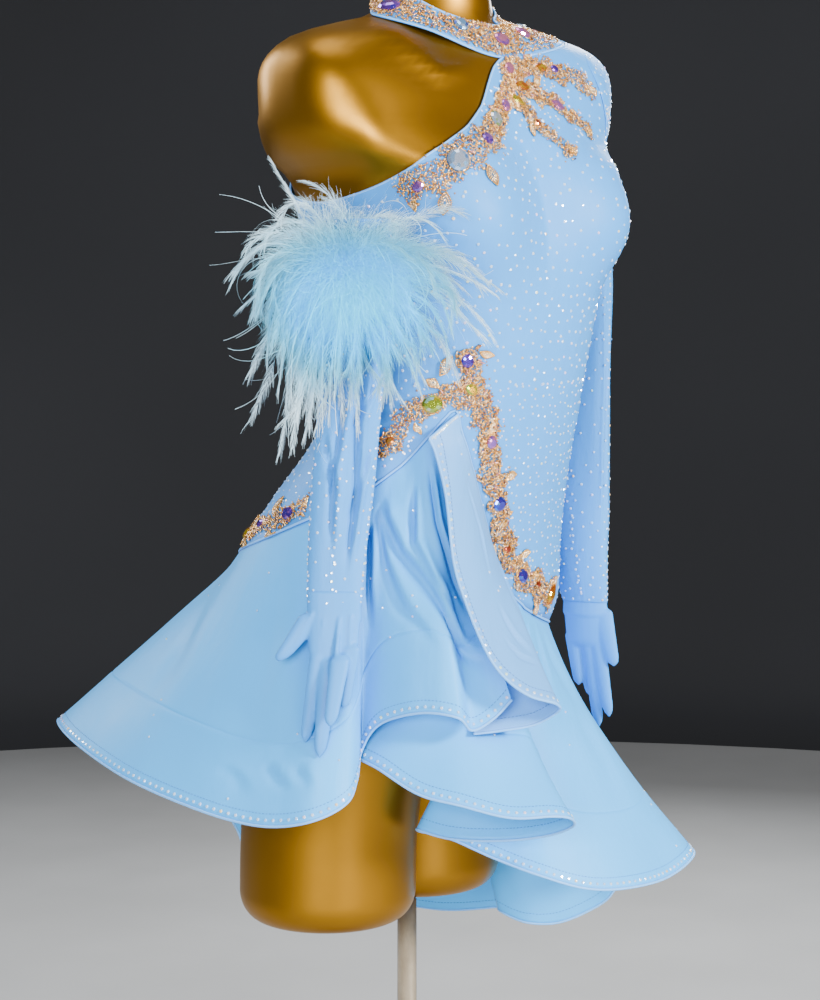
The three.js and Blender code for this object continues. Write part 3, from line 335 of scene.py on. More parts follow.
def on_form(turn, z, out):
    return form_point(turn, form_row(z), out)


def edge_height(edge, turn):
    turn = wrapped(turn)
    index = np.interp(turn, edge[:, 0], np.arange(len(edge)))
    return row_at(edge, index)[..., 1]


def around(turn, reach, z):
    angle = np.radians(turn)
    return np.stack([reach * np.sin(angle), -reach * np.cos(angle), z], -1)


def skirt_point(table, at, share, lift=0.0):
    at, share = np.broadcast_arrays(np.asarray(at, float), np.asarray(share, float))
    seam, turn, reach, z, flare = np.moveaxis(row_at(table, at), -1, 0)
    top = on_form(seam, edge_height(SEAM, seam) - SEAM_DROP, EASE + CLOTH + lift)
    hem = around(turn, reach, z)
    outward = share ** flare
    flat = top[..., :2] + (hem[..., :2] - top[..., :2]) * outward[..., None]
    return np.concatenate([flat, (top[..., 2] + (hem[..., 2] - top[..., 2]) * share)[..., None]], -1)


class Sheet:
    """A grid of points on the outer face of a cloth, with the directions to its inside."""

    def __init__(self, points, round_i=False):
        self.round_i = round_i
        self.points = points
        self.find_inward()

    def find_inward(self):
        if self.round_i:
            padded = np.concatenate([self.points[-2:-1], self.points, self.points[1:2]])
            across = (padded[2:] - padded[:-2])
        else:
            across = np.gradient(self.points, axis=0)
        down = np.gradient(self.points, axis=1)
        self.inward = unit(np.cross(across, down))

    def displace(self, amount):
        self.points = self.points - self.inward * amount[..., None]
        self.find_inward()

    def at(self, s, t):
        """Points and outward directions at shares s and t of the grid."""
        count_i, count_j = self.points.shape[:2]
        i = np.clip(np.asarray(s, float), 0, 1) * (count_i - 1)
        j = np.clip(np.asarray(t, float), 0, 1) * (count_j - 1)
        i0 = np.minimum(i.astype(int), count_i - 2)
        j0 = np.minimum(j.astype(int), count_j - 2)
        fi, fj = (i - i0)[..., None], (j - j0)[..., None]

        def mix(grid):
            return (grid[i0, j0] * (1 - fi) * (1 - fj) + grid[i0 + 1, j0] * fi * (1 - fj)
                    + grid[i0, j0 + 1] * (1 - fi) * fj + grid[i0 + 1, j0 + 1] * fi * fj)
        return mix(self.points), -unit(mix(self.inward))


def near_line(across, down, line):
    """Signed distance to a line of (across, down) points, and how far along it that is, 0 to 1."""
    line = np.asarray(line, float)
    count = len(line) - 1
    best = np.full(np.shape(across), 1e9)
    signed, along = np.zeros(np.shape(across)), np.zeros(np.shape(across))
    for k in range(count):
        (x0, y0), (x1, y1) = line[k], line[k + 1]
        dx, dy = x1 - x0, y1 - y0
        t = np.clip(((across - x0) * dx + (down - y0) * dy) / (dx * dx + dy * dy), 0, 1)
        ox, oy = across - x0 - t * dx, down - y0 - t * dy
        distance = np.hypot(ox, oy)
        closer = distance < best
        best = np.where(closer, distance, best)
        signed = np.where(closer, distance * np.where(ox * dy - oy * dx > 0, 1, -1), signed)
        along = np.where(closer, (k + t) / count, along)
    return signed, along


def crease_depth(across, down, creases, scale):
    """Height of soft troughs with a ridge beside each: rows of width, depth, fades and the line."""
    height = np.zeros(np.shape(across))
    for width, depth, fade_in, fade_out, line in creases:
        scaled = [(x * scale[0], y * scale[1]) for x, y in line]
        signed, along = near_line(across * scale[0], down * scale[1], scaled)
        profile = 0.6 * np.exp(-((signed - 1.7 * width) / (1.2 * width))**2) - np.exp(-(signed / width)**2)
        fade = np.clip(along / max(fade_in, 0.01), 0, 1) * np.clip((1 - along) / max(fade_out, 0.01), 0, 1)
        height += depth * profile * fade * fade * (3 - 2 * fade)
    return height


def ripple(points, size, amount):
    """Small uneven swells that run through space."""
    swells = np.zeros(points.shape[:-1])
    for direction, phase in RIPPLES:
        swells += np.sin(points @ (direction * 2 * math.pi / size) + phase)
    return amount * swells / len(RIPPLES)


# ---- meshes ----

def plain_object(name, points, faces, made_of, smooth=True):
    mesh = bpy.data.meshes.new(name)
    mesh.from_pydata((np.asarray(points) * MM).tolist(), [], faces)
    mesh.update()
    mesh.polygons.foreach_set("use_smooth", [smooth] * len(mesh.polygons))
    mesh.materials.append(made_of)
    thing = bpy.data.objects.new(name, mesh)
    bpy.context.scene.collection.objects.link(thing)
    return thing


def mesh_object(name, points, faces, made_of, slot, nodes=(), smooth=True, tones=None):
    """A piece of the dress or its stand; tones shade each point or each face."""
    thing = plain_object(name, points, faces, made_of, smooth)
    if tones is not None:
        layer = thing.data.attributes.new("tone", "FLOAT", "POINT" if len(tones) == len(points) else "FACE")
        layer.data.foreach_set("value", np.asarray(tones, np.float32).ravel())
    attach(thing, "root")
    if nodes:
        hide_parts(*nodes)
    return thing


def grid_faces(count_i, count_j, offset=0, flip=False, round_i=False):
    i = np.arange(count_i if round_i else count_i - 1)[:, None]
    j = np.arange(count_j - 1)[None, :]
    a = offset + i * count_j + j
    b = offset + ((i + 1) % count_i) * count_j + j
    quads = np.stack([a, b, b + 1, a + 1], -1).reshape(-1, 4)
    return quads[:, ::-1] if flip else quads


def cloth_piece(name, sheet, made_of, nodes):
    """A cloth wall: the sheet's outer face, an inner face, the rims between them and the cloth's grain."""
    points = sheet.points[:-1] if sheet.round_i else sheet.points
    inward = sheet.inward[:-1] if sheet.round_i else sheet.inward
    count_i, count_j = points.shape[:2]
    count = count_i * count_j
    both = np.concatenate([points.reshape(-1, 3), (points + inward * WALL).reshape(-1, 3)])
    faces = [grid_faces(count_i, count_j, 0, True, sheet.round_i),
             grid_faces(count_i, count_j, count, False, sheet.round_i)]
    i = np.arange(count_i if sheet.round_i else count_i - 1)
    after = (i + 1) % count_i
    for j, flip in ((0, False), (count_j - 1, True)):
        rim = np.stack([i * count_j + j, after * count_j + j,
                        count + after * count_j + j, count + i * count_j + j], -1)
        faces.append(rim[:, ::-1] if flip else rim)
    if not sheet.round_i:
        j = np.arange(count_j - 1)
        for i, flip in ((0, True), (count_i - 1, False)):
            rim = np.stack([i * count_j + j, i * count_j + j + 1,
                            count + i * count_j + j + 1, count + i * count_j + j], -1)
            faces.append(rim[:, ::-1] if flip else rim)
    thing = mesh_object(name, both, np.concatenate(faces).tolist(), made_of, "blue_cloth", nodes)
    set_uv(thing, grain(sheet.points)[:count_i])
    return thing


def circle(count):
    angle = np.arange(count) * TURN / count
    return np.stack([np.cos(angle), np.sin(angle)], -1)


def ring_faces(rings, sides, closed=True):
    """Quads between rings of points, and a cap at each end."""
    faces = [(start + s, start + (s + 1) % sides, start + sides + (s + 1) % sides, start + sides + s)
             for start in range(0, (rings - 1) * sides, sides) for s in range(sides)]
    if closed:
        faces.append(tuple(range(sides))[::-1])
        faces.append(tuple((rings - 1) * sides + s for s in range(sides)))
    return faces


def joined(parts):
    """One set of points and faces out of several."""
    points, faces, offset = [], [], 0
    for part, rings in parts:
        points.append(part)
        faces += [[k + offset for k in face] for face in rings]
        offset += len(part)
    return np.concatenate(points), faces


def tube_mesh(path, radius, sides=8):
    """Points and faces of a tube along a path."""
    along = unit(np.gradient(path, axis=0))
    side = unit(np.cross(along, np.where(np.abs(along[:, 2:]) > 0.9, [[1.0, 0, 0]], [[0, 0, 1.0]])))
    for k in range(1, len(path)):
        side[k] = unit(side[k - 1] - along[k] * np.dot(side[k - 1], along[k]))
    ring = circle(sides) @ np.stack([side, np.cross(along, side)], 1)
    return (path[:, None] + ring * radius).reshape(-1, 3), ring_faces(len(path), sides)


def many_of(points, faces, places, axes, scales):
    """One mesh of many copies of a shape: places (n,3), axes (n,3,3) as rows, scales (n,3)."""
    points = np.asarray(points, float)
    count = len(places)
    turned = np.einsum("pk,nk,nkc->npc", points, scales, axes) + places[:, None]
    offsets = (np.arange(count) * len(points))[:, None]
    result = []
    for size in sorted({len(face) for face in faces}):
        group = np.array([face for face in faces if len(face) == size])
        result += (group[None] + offsets[..., None]).reshape(-1, size).tolist()
    return turned.reshape(-1, 3), result


def axes_on(normals, turns):
    """Frames standing on a surface: two tangents, turned by an angle, and the normal."""
    normals = unit(normals)
    guide = np.where(np.abs(normals[:, 2:]) > 0.95, [[1.0, 0, 0]], [[0, 0, 1.0]])
    first = unit(np.cross(guide, normals))
    second = np.cross(normals, first)
    cos, sin = np.cos(turns)[:, None], np.sin(turns)[:, None]
    return np.stack([first * cos + second * sin, second * cos - first * sin, normals], 1)


# ---- materials ----

def material(name, color, roughness, **sockets):
    made = bpy.data.materials.new(name)
    made.use_nodes = True
    shader = made.node_tree.nodes["Principled BSDF"]
    shader.inputs["Base Color"].default_value = (*color, 1)
    shader.inputs["Roughness"].default_value = roughness
    for key, value in sockets.items():
        shader.inputs[key.replace("_", " ")].default_value = value
    return made


def add_node(made, kind, **settings):
    node = made.node_tree.nodes.new(kind)
    for key, value in settings.items():
        if key in node.bl_rna.properties:
            setattr(node, key, value)
        else:
            node.inputs[key.replace("_", " ")].default_value = value
    return node


def link(made, source, target):
    made.node_tree.links.new(source, target)


def texture(made, kind, space, stretch=(1, 1, 1), **settings):
    coords = add_node(made, "ShaderNodeTexCoord")
    mapping = add_node(made, "ShaderNodeMapping", Scale=stretch)
    link(made, coords.outputs[space], mapping.inputs["Vector"])
    node = add_node(made, kind, **settings)
    link(made, mapping.outputs["Vector"], node.inputs["Vector"])
    return node


def ramp(made, source, stops, socket="Base Color"):
    """Colours by a value, into a socket of the shader."""
    node = add_node(made, "ShaderNodeValToRGB")
    elements = node.color_ramp.elements
    while len(elements) < len(stops):
        elements.new(0.5)
    for element, (at, color) in zip(elements, stops):
        element.position = at
        element.color = (*color, 1)
    link(made, source, node.inputs["Fac"])
    link(made, node.outputs["Color"], made.node_tree.nodes["Principled BSDF"].inputs[socket])


def bump_chain(made, heights):
    """Bumps one over another: each is (height output, strength, distance in metres)."""
    below = None
    for height, strength, distance in heights:
        node = add_node(made, "ShaderNodeBump", Strength=strength, Distance=distance)
        link(made, height, node.inputs["Height"])
        if below is not None:
            link(made, below.outputs["Normal"], node.inputs["Normal"])
        below = node
    link(made, below.outputs["Normal"], made.node_tree.nodes["Principled BSDF"].inputs["Normal"])


def roughness_ramp(made, source, low, high, least, most):
    ramp(made, source, [(low, (least,) * 3), (high, (most,) * 3)], "Roughness")


def cloth_material(name, light, dark, deep, roughness):
    """Stretch satin, with painted shade: ambient occlusion darkens the blue where folds close in; with a
    weave and fine creases.
    """
    made = material(name, light, roughness, Sheen_Weight=0.07, Sheen_Roughness=0.35,
                    Specular_IOR_Level=0.18)
    # Painted shade: ambient occlusion carries the base colour from the open blue down to the painted fold
    # shade.
    closed = add_node(made, "ShaderNodeAmbientOcclusion", samples=8, Distance=0.03)
    ramp(made, closed.outputs["AO"], [(0.25, deep), (0.62, dark), (0.95, light)])
    patches = texture(made, "ShaderNodeTexNoise", "UV", Scale=14.0, Detail=3.0)
    roughness_ramp(made, patches.outputs["Fac"], 0.35, 0.65, roughness - 0.05, roughness + 0.06)
    warp = texture(made, "ShaderNodeTexWave", "UV", Scale=420.0, wave_profile="SIN")
    weft = texture(made, "ShaderNodeTexWave", "UV", bands_direction="Y", Scale=420.0, wave_profile="SIN")
    creases = texture(made, "ShaderNodeTexNoise", "UV", stretch=(26, 9, 9), Scale=1.0, Detail=4.0,
                      Distortion=0.4)
    bump_chain(made, [(creases.outputs["Fac"], 0.35, 0.004), (warp.outputs["Fac"], 0.12, 0.0003),
                      (weft.outputs["Fac"], 0.12, 0.0003)])
    return made


# Each blue: open cloth, painted half shade as folds begin to close, painted shade far into a fold, roughness.
CLOTH_BLUE, SHADED_COPY_BLUE, OVERLAY_BLUE, HEM_BLUE, THREAD = (cloth_material(*row) for row in (
    ("cloth_blue", (0.045, 0.45, 1.0), (0.038, 0.35, 0.90), (0.010, 0.14, 0.46), 0.43),
    # Painted shade: this blue is a darker, greyer copy of the skirt's cloth_blue, used on the bodice, collar,
    # sleeves and gloves to dim them under the lamps.
    ("shaded_copy_blue", (0.042, 0.31, 0.80), (0.036, 0.265, 0.72), (0.014, 0.15, 0.40), 0.45),
    ("overlay_blue", (0.105, 0.37, 0.82), (0.12, 0.34, 0.76), (0.02, 0.14, 0.46), 0.45),
    ("hem_cord_blue", (0.17, 0.50, 1.0), (0.10, 0.40, 0.95), (0.02, 0.15, 0.55), 0.4),
    ("thread_blue", (0.06, 0.24, 0.60), (0.05, 0.20, 0.52), (0.02, 0.10, 0.40), 0.5)))


def gold_material():
    made = material("gold_lacquer", (0.31, 0.145, 0.003), 0.40, Metallic=0.9, Coat_Weight=0.10,
                    Coat_Roughness=0.25)
    patches = texture(made, "ShaderNodeTexNoise", "Object", Scale=7.0, Detail=5.0)
    ramp(made, patches.outputs["Fac"], [(0.3, (0.29, 0.130, 0.002)), (0.7, (0.34, 0.158, 0.004))])
    roughness_ramp(made, patches.outputs["Fac"], 0.3, 0.7, 0.37, 0.43)
    pores = texture(made, "ShaderNodeTexNoise", "Object", Scale=90.0, Detail=4.0)
    bump_chain(made, [(pores.outputs["Fac"], 0.05, 0.001)])
    return made


def steel_material():
    made = material("stand_paint", (0.5, 0.47, 0.4), 0.5, Metallic=0.2)
    scuffs = texture(made, "ShaderNodeTexNoise", "Object", stretch=(60, 60, 22), Scale=1.0, Detail=6.0,
                     Roughness=0.7)
    ramp(made, scuffs.outputs["Fac"], [(0.36, (0.22, 0.175, 0.115)), (0.52, (0.27, 0.22, 0.15)),
                                       (0.66, (0.33, 0.275, 0.195))])
    bump_chain(made, [(scuffs.outputs["Fac"], 0.2, 0.0006)])
    return made


def toned_material(name, stops, roughness, **sockets):
    """A colour from each point's tone."""
    made = material(name, stops[0][1], roughness, **sockets)
    tone = add_node(made, "ShaderNodeAttribute", attribute_name="tone")
    grain = texture(made, "ShaderNodeTexNoise", "Object", Scale=800.0, Detail=2.0)
    ramp(made, tone.outputs["Fac"], stops)
    bump_chain(made, [(grain.outputs["Fac"], 0.1, 0.0005)])
    return made


def feather_material():
    """Thin barbs with a painted glow: each barb emits its own colour, standing in for light that comes
    through it.
    """
    made = toned_material("feather", [(0.0, (0.0, 0.74, 1.0)), (0.3, (0.01, 0.60, 0.98)),
                                      (0.6, (0.13, 0.50, 0.66)), (1.0, (0.48, 0.64, 0.72))], 0.55,
                         Specular_IOR_Level=0.15)
    shader = made.node_tree.nodes["Principled BSDF"]
    # Painted light: the tone's colour is also emitted, so the barbs glow though no lamp is there.
    link(made, shader.inputs["Base Color"].links[0].from_socket, shader.inputs["Emission Color"])
    shader.inputs["Emission Strength"].default_value = 0.30
    return made


GOLD = gold_material()
STEEL = steel_material()
GLOWING_FEATHER = feather_material()


# ---- form, pole and base ----

SHOULDER = np.array([(-180, 56), (-128, 76), (-90, 73), (-50, 76), (-15, 71), (37, 54), (60, 57),
                     (83, 67), (97, 67), (120, 57), (143, 54), (180, 62)], float)
COLLARBONE = [(-80, 1356), (-64, 1336), (-45, 1313), (-24, 1322)]


def sculpted(turn, z):
    """Relief of the form's right shoulder: a rim around the blunt end and a collarbone."""
    across, up = (wrapped(turn) + 90) * 2.6, z - 1278
    angle = np.degrees(np.arctan2(up, across))
    edge = np.interp(angle, SHOULDER[:, 0], SHOULDER[:, 1])
    distance = np.hypot(across, up) - edge
    rim = 1.6 * np.exp(-(distance / 11)**2) - 6.5 / (1 + np.exp(distance / 8))
    signed, along = near_line(wrapped(turn) * 2.3, z + 0 * turn, [(t * 2.3, h) for t, h in COLLARBONE])
    fade = np.clip(along * 4, 0, 1) * np.clip((1 - along) * 3, 0, 1)
    above = z > np.interp(wrapped(turn), *zip(*COLLARBONE))
    hollow = 3.8 * np.exp(-((np.abs(signed) - 19) / 10)**2) * above
    return rim + fade * (4.4 * np.exp(-(signed / 6)**2) - hollow)


def build_form():
    """The gold body, rounded at its lower end and at the cut of its neck."""
    quarter, neck_quarter = np.linspace(0, math.pi / 2, 12), np.linspace(0.1, math.pi / 2, 6)
    heights = np.concatenate([FORM_FOOT + FOOT_ROUND * (1 - np.cos(quarter)), np.linspace(596, 1431, 118),
                              FORM_TOP - NECK_ROUND * (1 - np.sin(neck_quarter))])
    heights = np.unique(heights)
    sides = 120
    turns = np.linspace(-180, 180, sides + 1)
    grid = form_point(turns[:, None], form_row(heights)[None], 0.0, BUST["form"])
    low = np.clip((FORM_FOOT + FOOT_ROUND - heights) / FOOT_ROUND, 0, 1)
    high = np.clip((heights - FORM_TOP + NECK_ROUND) / NECK_ROUND, 0, 1)
    inset = FOOT_INSET * (1 - np.sqrt(1 - low**2)) + NECK_ROUND * (1 - np.sqrt(1 - high**2))
    outward = Sheet(grid, True).inward
    grid = grid + outward * sculpted(turns[:, None], heights[None])[..., None]
    grid = grid - unit(outward * [1, 1, 0]) * inset[None, :, None]
    points = grid[:-1].reshape(-1, 3)
    faces = grid_faces(sides, len(heights), 0, False, True).tolist()
    for j, flip in ((0, True), (len(heights) - 1, False)):
        rim = [i * len(heights) + j for i in range(sides)]
        faces.append(rim[::-1] if flip else rim)
    mesh_object("dress_form", points, faces, GOLD, "gold_form", ["form"])


def turned_points(profile, centre, sides):
    """Rings of points from (radius, height) pairs."""
    ring = circle(sides)
    return np.concatenate([np.column_stack([ring * r + centre[:2], np.full(sides, z)]) for r, z in profile])


def turned_body(name, node, profile, centre, sides):
    mesh_object(name, turned_points(profile, centre, sides), ring_faces(len(profile), sides), STEEL,
                "stand_steel", [node])


def build_stand():
    low, high = (np.array(corner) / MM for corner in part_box("pole"))
    radius = (high - low)[0] / 2
    turned_body("stand_pole", "pole", [(radius, low[2]), (radius, high[2])], (low + high) / 2, 48)
    low, high = (np.array(corner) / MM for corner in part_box("base_plate"))
    radius, top = (high - low)[0] / 2, high[2]
    turned_body("stand_base", "base_plate", [(radius - 1.5, 0), (radius, 1.5), (radius, top - 2.5),
                                             (radius - 0.8, top - 0.8), (radius - 2.5, top), (0.5, top)],
                (low + high) / 2, 128)


# ---- cloth ----

def set_uv(thing, coords):
    """Lay the cloth's grain: each point's place on the flat cloth, in metres."""
    mesh = thing.data
    layer = mesh.uv_layers.new(name="grain")
    loops = np.empty(len(mesh.loops), np.int32)
    mesh.loops.foreach_get("vertex_index", loops)
    flat = np.tile(np.asarray(coords).reshape(-1, 2) * MM, (2, 1))
    layer.data.foreach_set("uv", flat[loops].astype(np.float32).ravel())


def grain(points):
    """Lengths along a grid of points, across and down."""
    across = np.linalg.norm(np.diff(points, axis=0), axis=-1).mean(1)
    down = np.linalg.norm(np.diff(points, axis=1), axis=-1)
    s = np.concatenate([[0], np.cumsum(across)])[:, None] + 0 * points[..., 0]
    t = np.concatenate([np.zeros((len(points), 1)), np.cumsum(down, axis=1)], axis=1)
    return np.stack([s, t], -1)


def build_bodice():
    turns = np.linspace(-180, 180, 161)[:, None]
    share = np.linspace(0, 1, 72)[None]
    top = form_row(edge_height(NECKLINE, turns))
    foot = form_row(edge_height(SEAM, turns))
    points = form_point(turns, top + (foot - top) * share, EASE + CLOTH)
    sheet = Sheet(points, True)
    height = ripple(points, 70, 0.5)
    for shift in (-360, 0, 360):
        height += crease_depth(turns + shift + 0 * share, points[..., 2], BODICE_CREASES, (2.2, 1))
    sheet.displace(np.maximum(height, -2.2) * np.clip(share * 12, 0, 1) * np.clip((1 - share) * 12, 0, 1))
    thing = cloth_piece("bodice_cloth", sheet, SHADED_COPY_BLUE, ["bodice_front", "bodice_back"])
    return sheet


def build_collar():
    turns = np.linspace(-180, 180, 121)[:, None]
    share = np.linspace(0, 1, 12)[None]
    forward = np.cos(np.radians(turns))
    foot = COLLAR_SIDE - forward * np.where(forward > 0, COLLAR_DROP, COLLAR_RISE)
    height = foot + COLLAR_HEIGHT * (1 - share)
    sheet = Sheet(on_form(turns, height, COLLAR_EASE + CLOTH), True)
    thing = cloth_piece("collar_band", sheet, SHADED_COPY_BLUE, ["collar"])
    return sheet


def skirt_sheet(table, creases, count_i, count_j, band, lift=0.0):
    at = np.linspace(0, len(table) - 1, count_i)[:, None]
    share = np.linspace(0, 1, count_j)[None] + 0 * at
    if band:
        shape = skirt_point(table, at, share, lift)
        length = np.linalg.norm(np.diff(shape, axis=1), axis=-1).sum(1)[:, None]
        seam = 1 - HEM_BAND / length
        steps = np.array([-3.0, -1.0, -0.4, 0.4, 1.0, 3.0])[None] / length
        upper = int(count_j * 0.68)
        lower = count_j - upper - 6
        share = np.concatenate([(seam - 6 / length) * np.linspace(0, 1, upper)[None], seam + steps,
                                seam + 6 / length + (1 - seam - 6 / length) * np.linspace(0, 1, lower)[None]],
                               axis=1)
    sheet = Sheet(skirt_point(table, at, share, lift))
    room = np.clip(share * 6, 0, 1)
    height = crease_depth(at + 0 * share, share, creases, (22, 300)) * room
    height += ripple(sheet.points, 90, 1.6) * room
    if band:
        from_hem = (1 - share) * length
        height -= 0.5 * np.exp(-((from_hem - HEM_BAND) / 0.9)**2)
        height += 0.2 * np.exp(-((from_hem - HEM_BAND + 4) / 4)**2)
    sheet.displace(height)
    return sheet


def build_skirts():
    right = skirt_sheet(RIGHT_SKIRT, RIGHT_CREASES, 231, 76, True)
    left = skirt_sheet(LEFT_SKIRT, LEFT_CREASES, 273, 72, True)
    overlay = skirt_sheet(OVERLAY, OVERLAY_CREASES, 121, 56, False, OVERLAY_LIFT)
    for name, sheet, made_of, nodes, flat, area in (
            ("skirt_right_layer", right, CLOTH_BLUE,
             ("skirt_back_right", "skirt_right", "skirt_front_frill"), (0.72, 0.34), 0.15),
            ("skirt_left_layer", left, CLOTH_BLUE,
             ("skirt_front_drape", "skirt_left", "skirt_back_left"), (1.02, 0.40), 0.26),
            ("skirt_overlay_layer", overlay, OVERLAY_BLUE, ("skirt_overlay",), (0.24, 0.25), 0.027)):
        bands = () if sheet is overlay else ("_hem_band",)
        thing = cloth_piece(name, sheet, made_of, [node + part for node in nodes for part in ("", *bands)])
    return right, left, overlay


def yawed(points, angle):
    """Points turned about the vertical."""
    x, y, z = np.moveaxis(points, -1, 0)
    return np.stack([x * np.cos(angle) - y * np.sin(angle), x * np.sin(angle) + y * np.cos(angle), z], -1)


def left_sleeve_point(row, angle):
    row, angle = np.broadcast_arrays(row, angle)
    x0, z0, x1, z1, y, half, yaw = np.moveaxis(row_at(LEFT_SLEEVE, row), -1, 0)
    middle = np.stack([(x0 + x1) / 2, y, (z0 + z1) / 2], -1)
    outward = np.stack([(x1 - x0) / 2, 0 * x0, (z1 - z0) / 2], -1)
    thick = np.linalg.norm(outward, axis=-1)
    square = np.interp(row, [0, 7, 9], [SLEEVE_SQUARE, SLEEVE_SQUARE, 2])

    def boxy(value):
        return np.sign(value) * np.abs(value) ** (2 / square)
    
    offset = unit(outward) * (thick * boxy(np.cos(angle)))[..., None]
    offset[..., 1] += half * boxy(np.sin(angle))
    turn = np.radians(yaw)
    return middle + yawed(offset, turn)


def left_cap_point(row, angle):
    """The sleeve, drawn in over the shoulder on to the bodice's armhole."""
    loose = left_sleeve_point(row, angle)
    x, y, z = np.moveaxis(loose, -1, 0)
    _, cx, cy, half, front, back, square, _ = np.moveaxis(row_at(FORM, form_row(z)), -1, 0)
    out = EASE + CLOTH + CAP_LIFT
    depth = np.where(y < cy, front, back) + out
    factor = ((np.abs(x - cx) / (half + out))**square + (np.abs(y - cy) / depth)**square)**(1 / square)
    drawn = np.stack([cx + (x - cx) / factor, cy + (y - cy) / factor, z], -1)
    blend = np.clip((row - 2.3) / 2.2, 0, 1)
    blend = (blend * blend * (3 - 2 * blend))[..., None]
    return drawn * (1 - blend) + loose * blend


FACING = math.radians(SLEEVE_FACING)
FLAT = np.array([math.cos(FACING), math.sin(FACING), 0])
FACE = np.array([math.sin(FACING), -math.cos(FACING), 0])


def right_sleeve_point(row, angle):
    row, angle = np.broadcast_arrays(row, angle)
    x, y, z, half, thick = np.moveaxis(row_at(RIGHT_SLEEVE, row), -1, 0)
    return (np.stack([x, y, z], -1) + FLAT * (half * np.cos(angle))[..., None]
            + FACE * (thick * np.sin(angle))[..., None])


def sleeve_folds(points, creases, angle, amount):
    """Creases of a sleeve, with lines of (degrees round it, height)."""
    height = ripple(points, 60, 0.7)
    around_it = np.degrees(angle) + 0 * points[..., 2]
    for shift in (-360, 0, 360):
        height += crease_depth(around_it + shift, points[..., 2], creases, (0.55, 1))
    rows = np.arange(points.shape[1])
    ends = np.clip(rows / 5, 0, 1) * np.clip((rows[-1] - 6 - rows) / 14, 0, 1)
    return amount * height * ends


def build_sleeves():
    made = []
    for side, place, table, creases, amount, around_it, rows, flat in (
            ("left", left_cap_point, LEFT_SLEEVE, LEFT_SLEEVE_CREASES, 1.6,
             np.linspace(0, TURN, 57), 140, (0.175, 0.52)),
            ("right", right_sleeve_point, RIGHT_SLEEVE, RIGHT_SLEEVE_CREASES, 1.4,
             np.linspace(TURN, 0, 65), 110, (0.13, 0.33))):
        angle = around_it[:, None]
        sheet = Sheet(place(np.linspace(0, len(table) - 1, rows)[None], angle), True)
        sheet.displace(sleeve_folds(sheet.points, creases, angle, amount))
        thing = cloth_piece(side + "_sleeve_cloth", sheet, SHADED_COPY_BLUE, [side + "_sleeve"])
        made.append(sheet)
    return made


def finger_rings(finger, lean):
    """Rings along a finger, rounded at its tip and narrowed where it leaves the palm."""
    steps, sides = 14, 20
    x0, z0, x1, z1, y0, y1, wide0, wide1, thick0, thick1 = finger
    t = np.linspace(0, 1, steps)[:, None]
    angle = (np.arange(sides) * TURN / sides)[None]
    wide = (wide0 + (wide1 - wide0) * t) / 2
    thick = (thick0 + (thick1 - thick0) * t) / 2
    closing = np.sqrt(np.clip(1 - np.clip((t - 0.82) / 0.18, 0, 1)**2, 0.02, 1))
    opening = np.sqrt(np.clip(1 - np.clip((0.06 - t) / 0.06, 0, 1)**2, 0.25, 1))
    size = closing * opening
    x = x0 + (x1 - x0) * t + wide * size * np.cos(angle)
    y = (y0 + (y1 - y0) * t) * lean + thick * size * np.sin(angle)
    z = z0 + (z1 - z0) * t + 0 * angle
    return np.stack([x, y, z], -1)


def build_glove(name, node, mirror, place, turn, lean, thumb):
    """A limp hand; the thumb is given by where its tip lies, across and down."""
    across, down = thumb
    fingers = HAND + [(-15, -4, across, down, 1, 4, 26, 13, 9, 6),
                      (-17, -2, 0.72 * across, 0.78 * down, 3, 5, 5, 4, 6, 4)]
    points, faces = joined([(rings.reshape(-1, 3), ring_faces(*rings.shape[:2]))
                            for rings in (finger_rings(finger, lean) for finger in fingers)])
    points = yawed(points * [-1 if mirror else 1, -1, 1], math.radians(turn)) + place
    thing = mesh_object(name, points, faces, SHADED_COPY_BLUE, "blue_cloth", [node])
    remesh = thing.modifiers.new("one_skin", "REMESH")
    remesh.mode = "VOXEL"
    remesh.voxel_size = 0.0013
    remesh.use_smooth_shade = True
    thing.modifiers.new("soften", "SMOOTH").iterations = 3


# ---- feathers ----

CUFF_CENTRE = np.array([-183, -112, 1147])
BRIGHT_SPOT = np.array([-196, -140, 1118])
# Where the strands begin to bend back from the wearer's right, and how much further they may lie.
SIDE_REACH, SIDE_SPARE = -256, 24
# How far the plumes reach, and how the down and the plumes are shared out, by (aim, value).
REACH = np.array([
    (-180, 68), (-150, 84), (-125, 122), (-112, 144), (-98, 118), (-65, 88), (-30, 96), (0, 108),
    (20, 112), (45, 98), (75, 66), (100, 80), (120, 104), (140, 92), (155, 72), (180, 68),
], float)
DOWN_SHARE = [(-180, 1.3), (-140, 1.4), (-100, 1.2), (-60, 1.2), (-20, 1.3), (20, 1.7), (45, 1.7), (78, 1.2),
              (110, 1.3), (150, 1.3), (180, 1.3)]
PLUME_SHARE = [(-180, 2.6), (-140, 3.0), (-110, 2.8), (-70, 1.3), (-20, 1.2), (10, 1.4), (40, 1.6), (80, 0.1),
               (105, 0.2), (135, 2.0), (160, 2.8), (180, 2.6)]


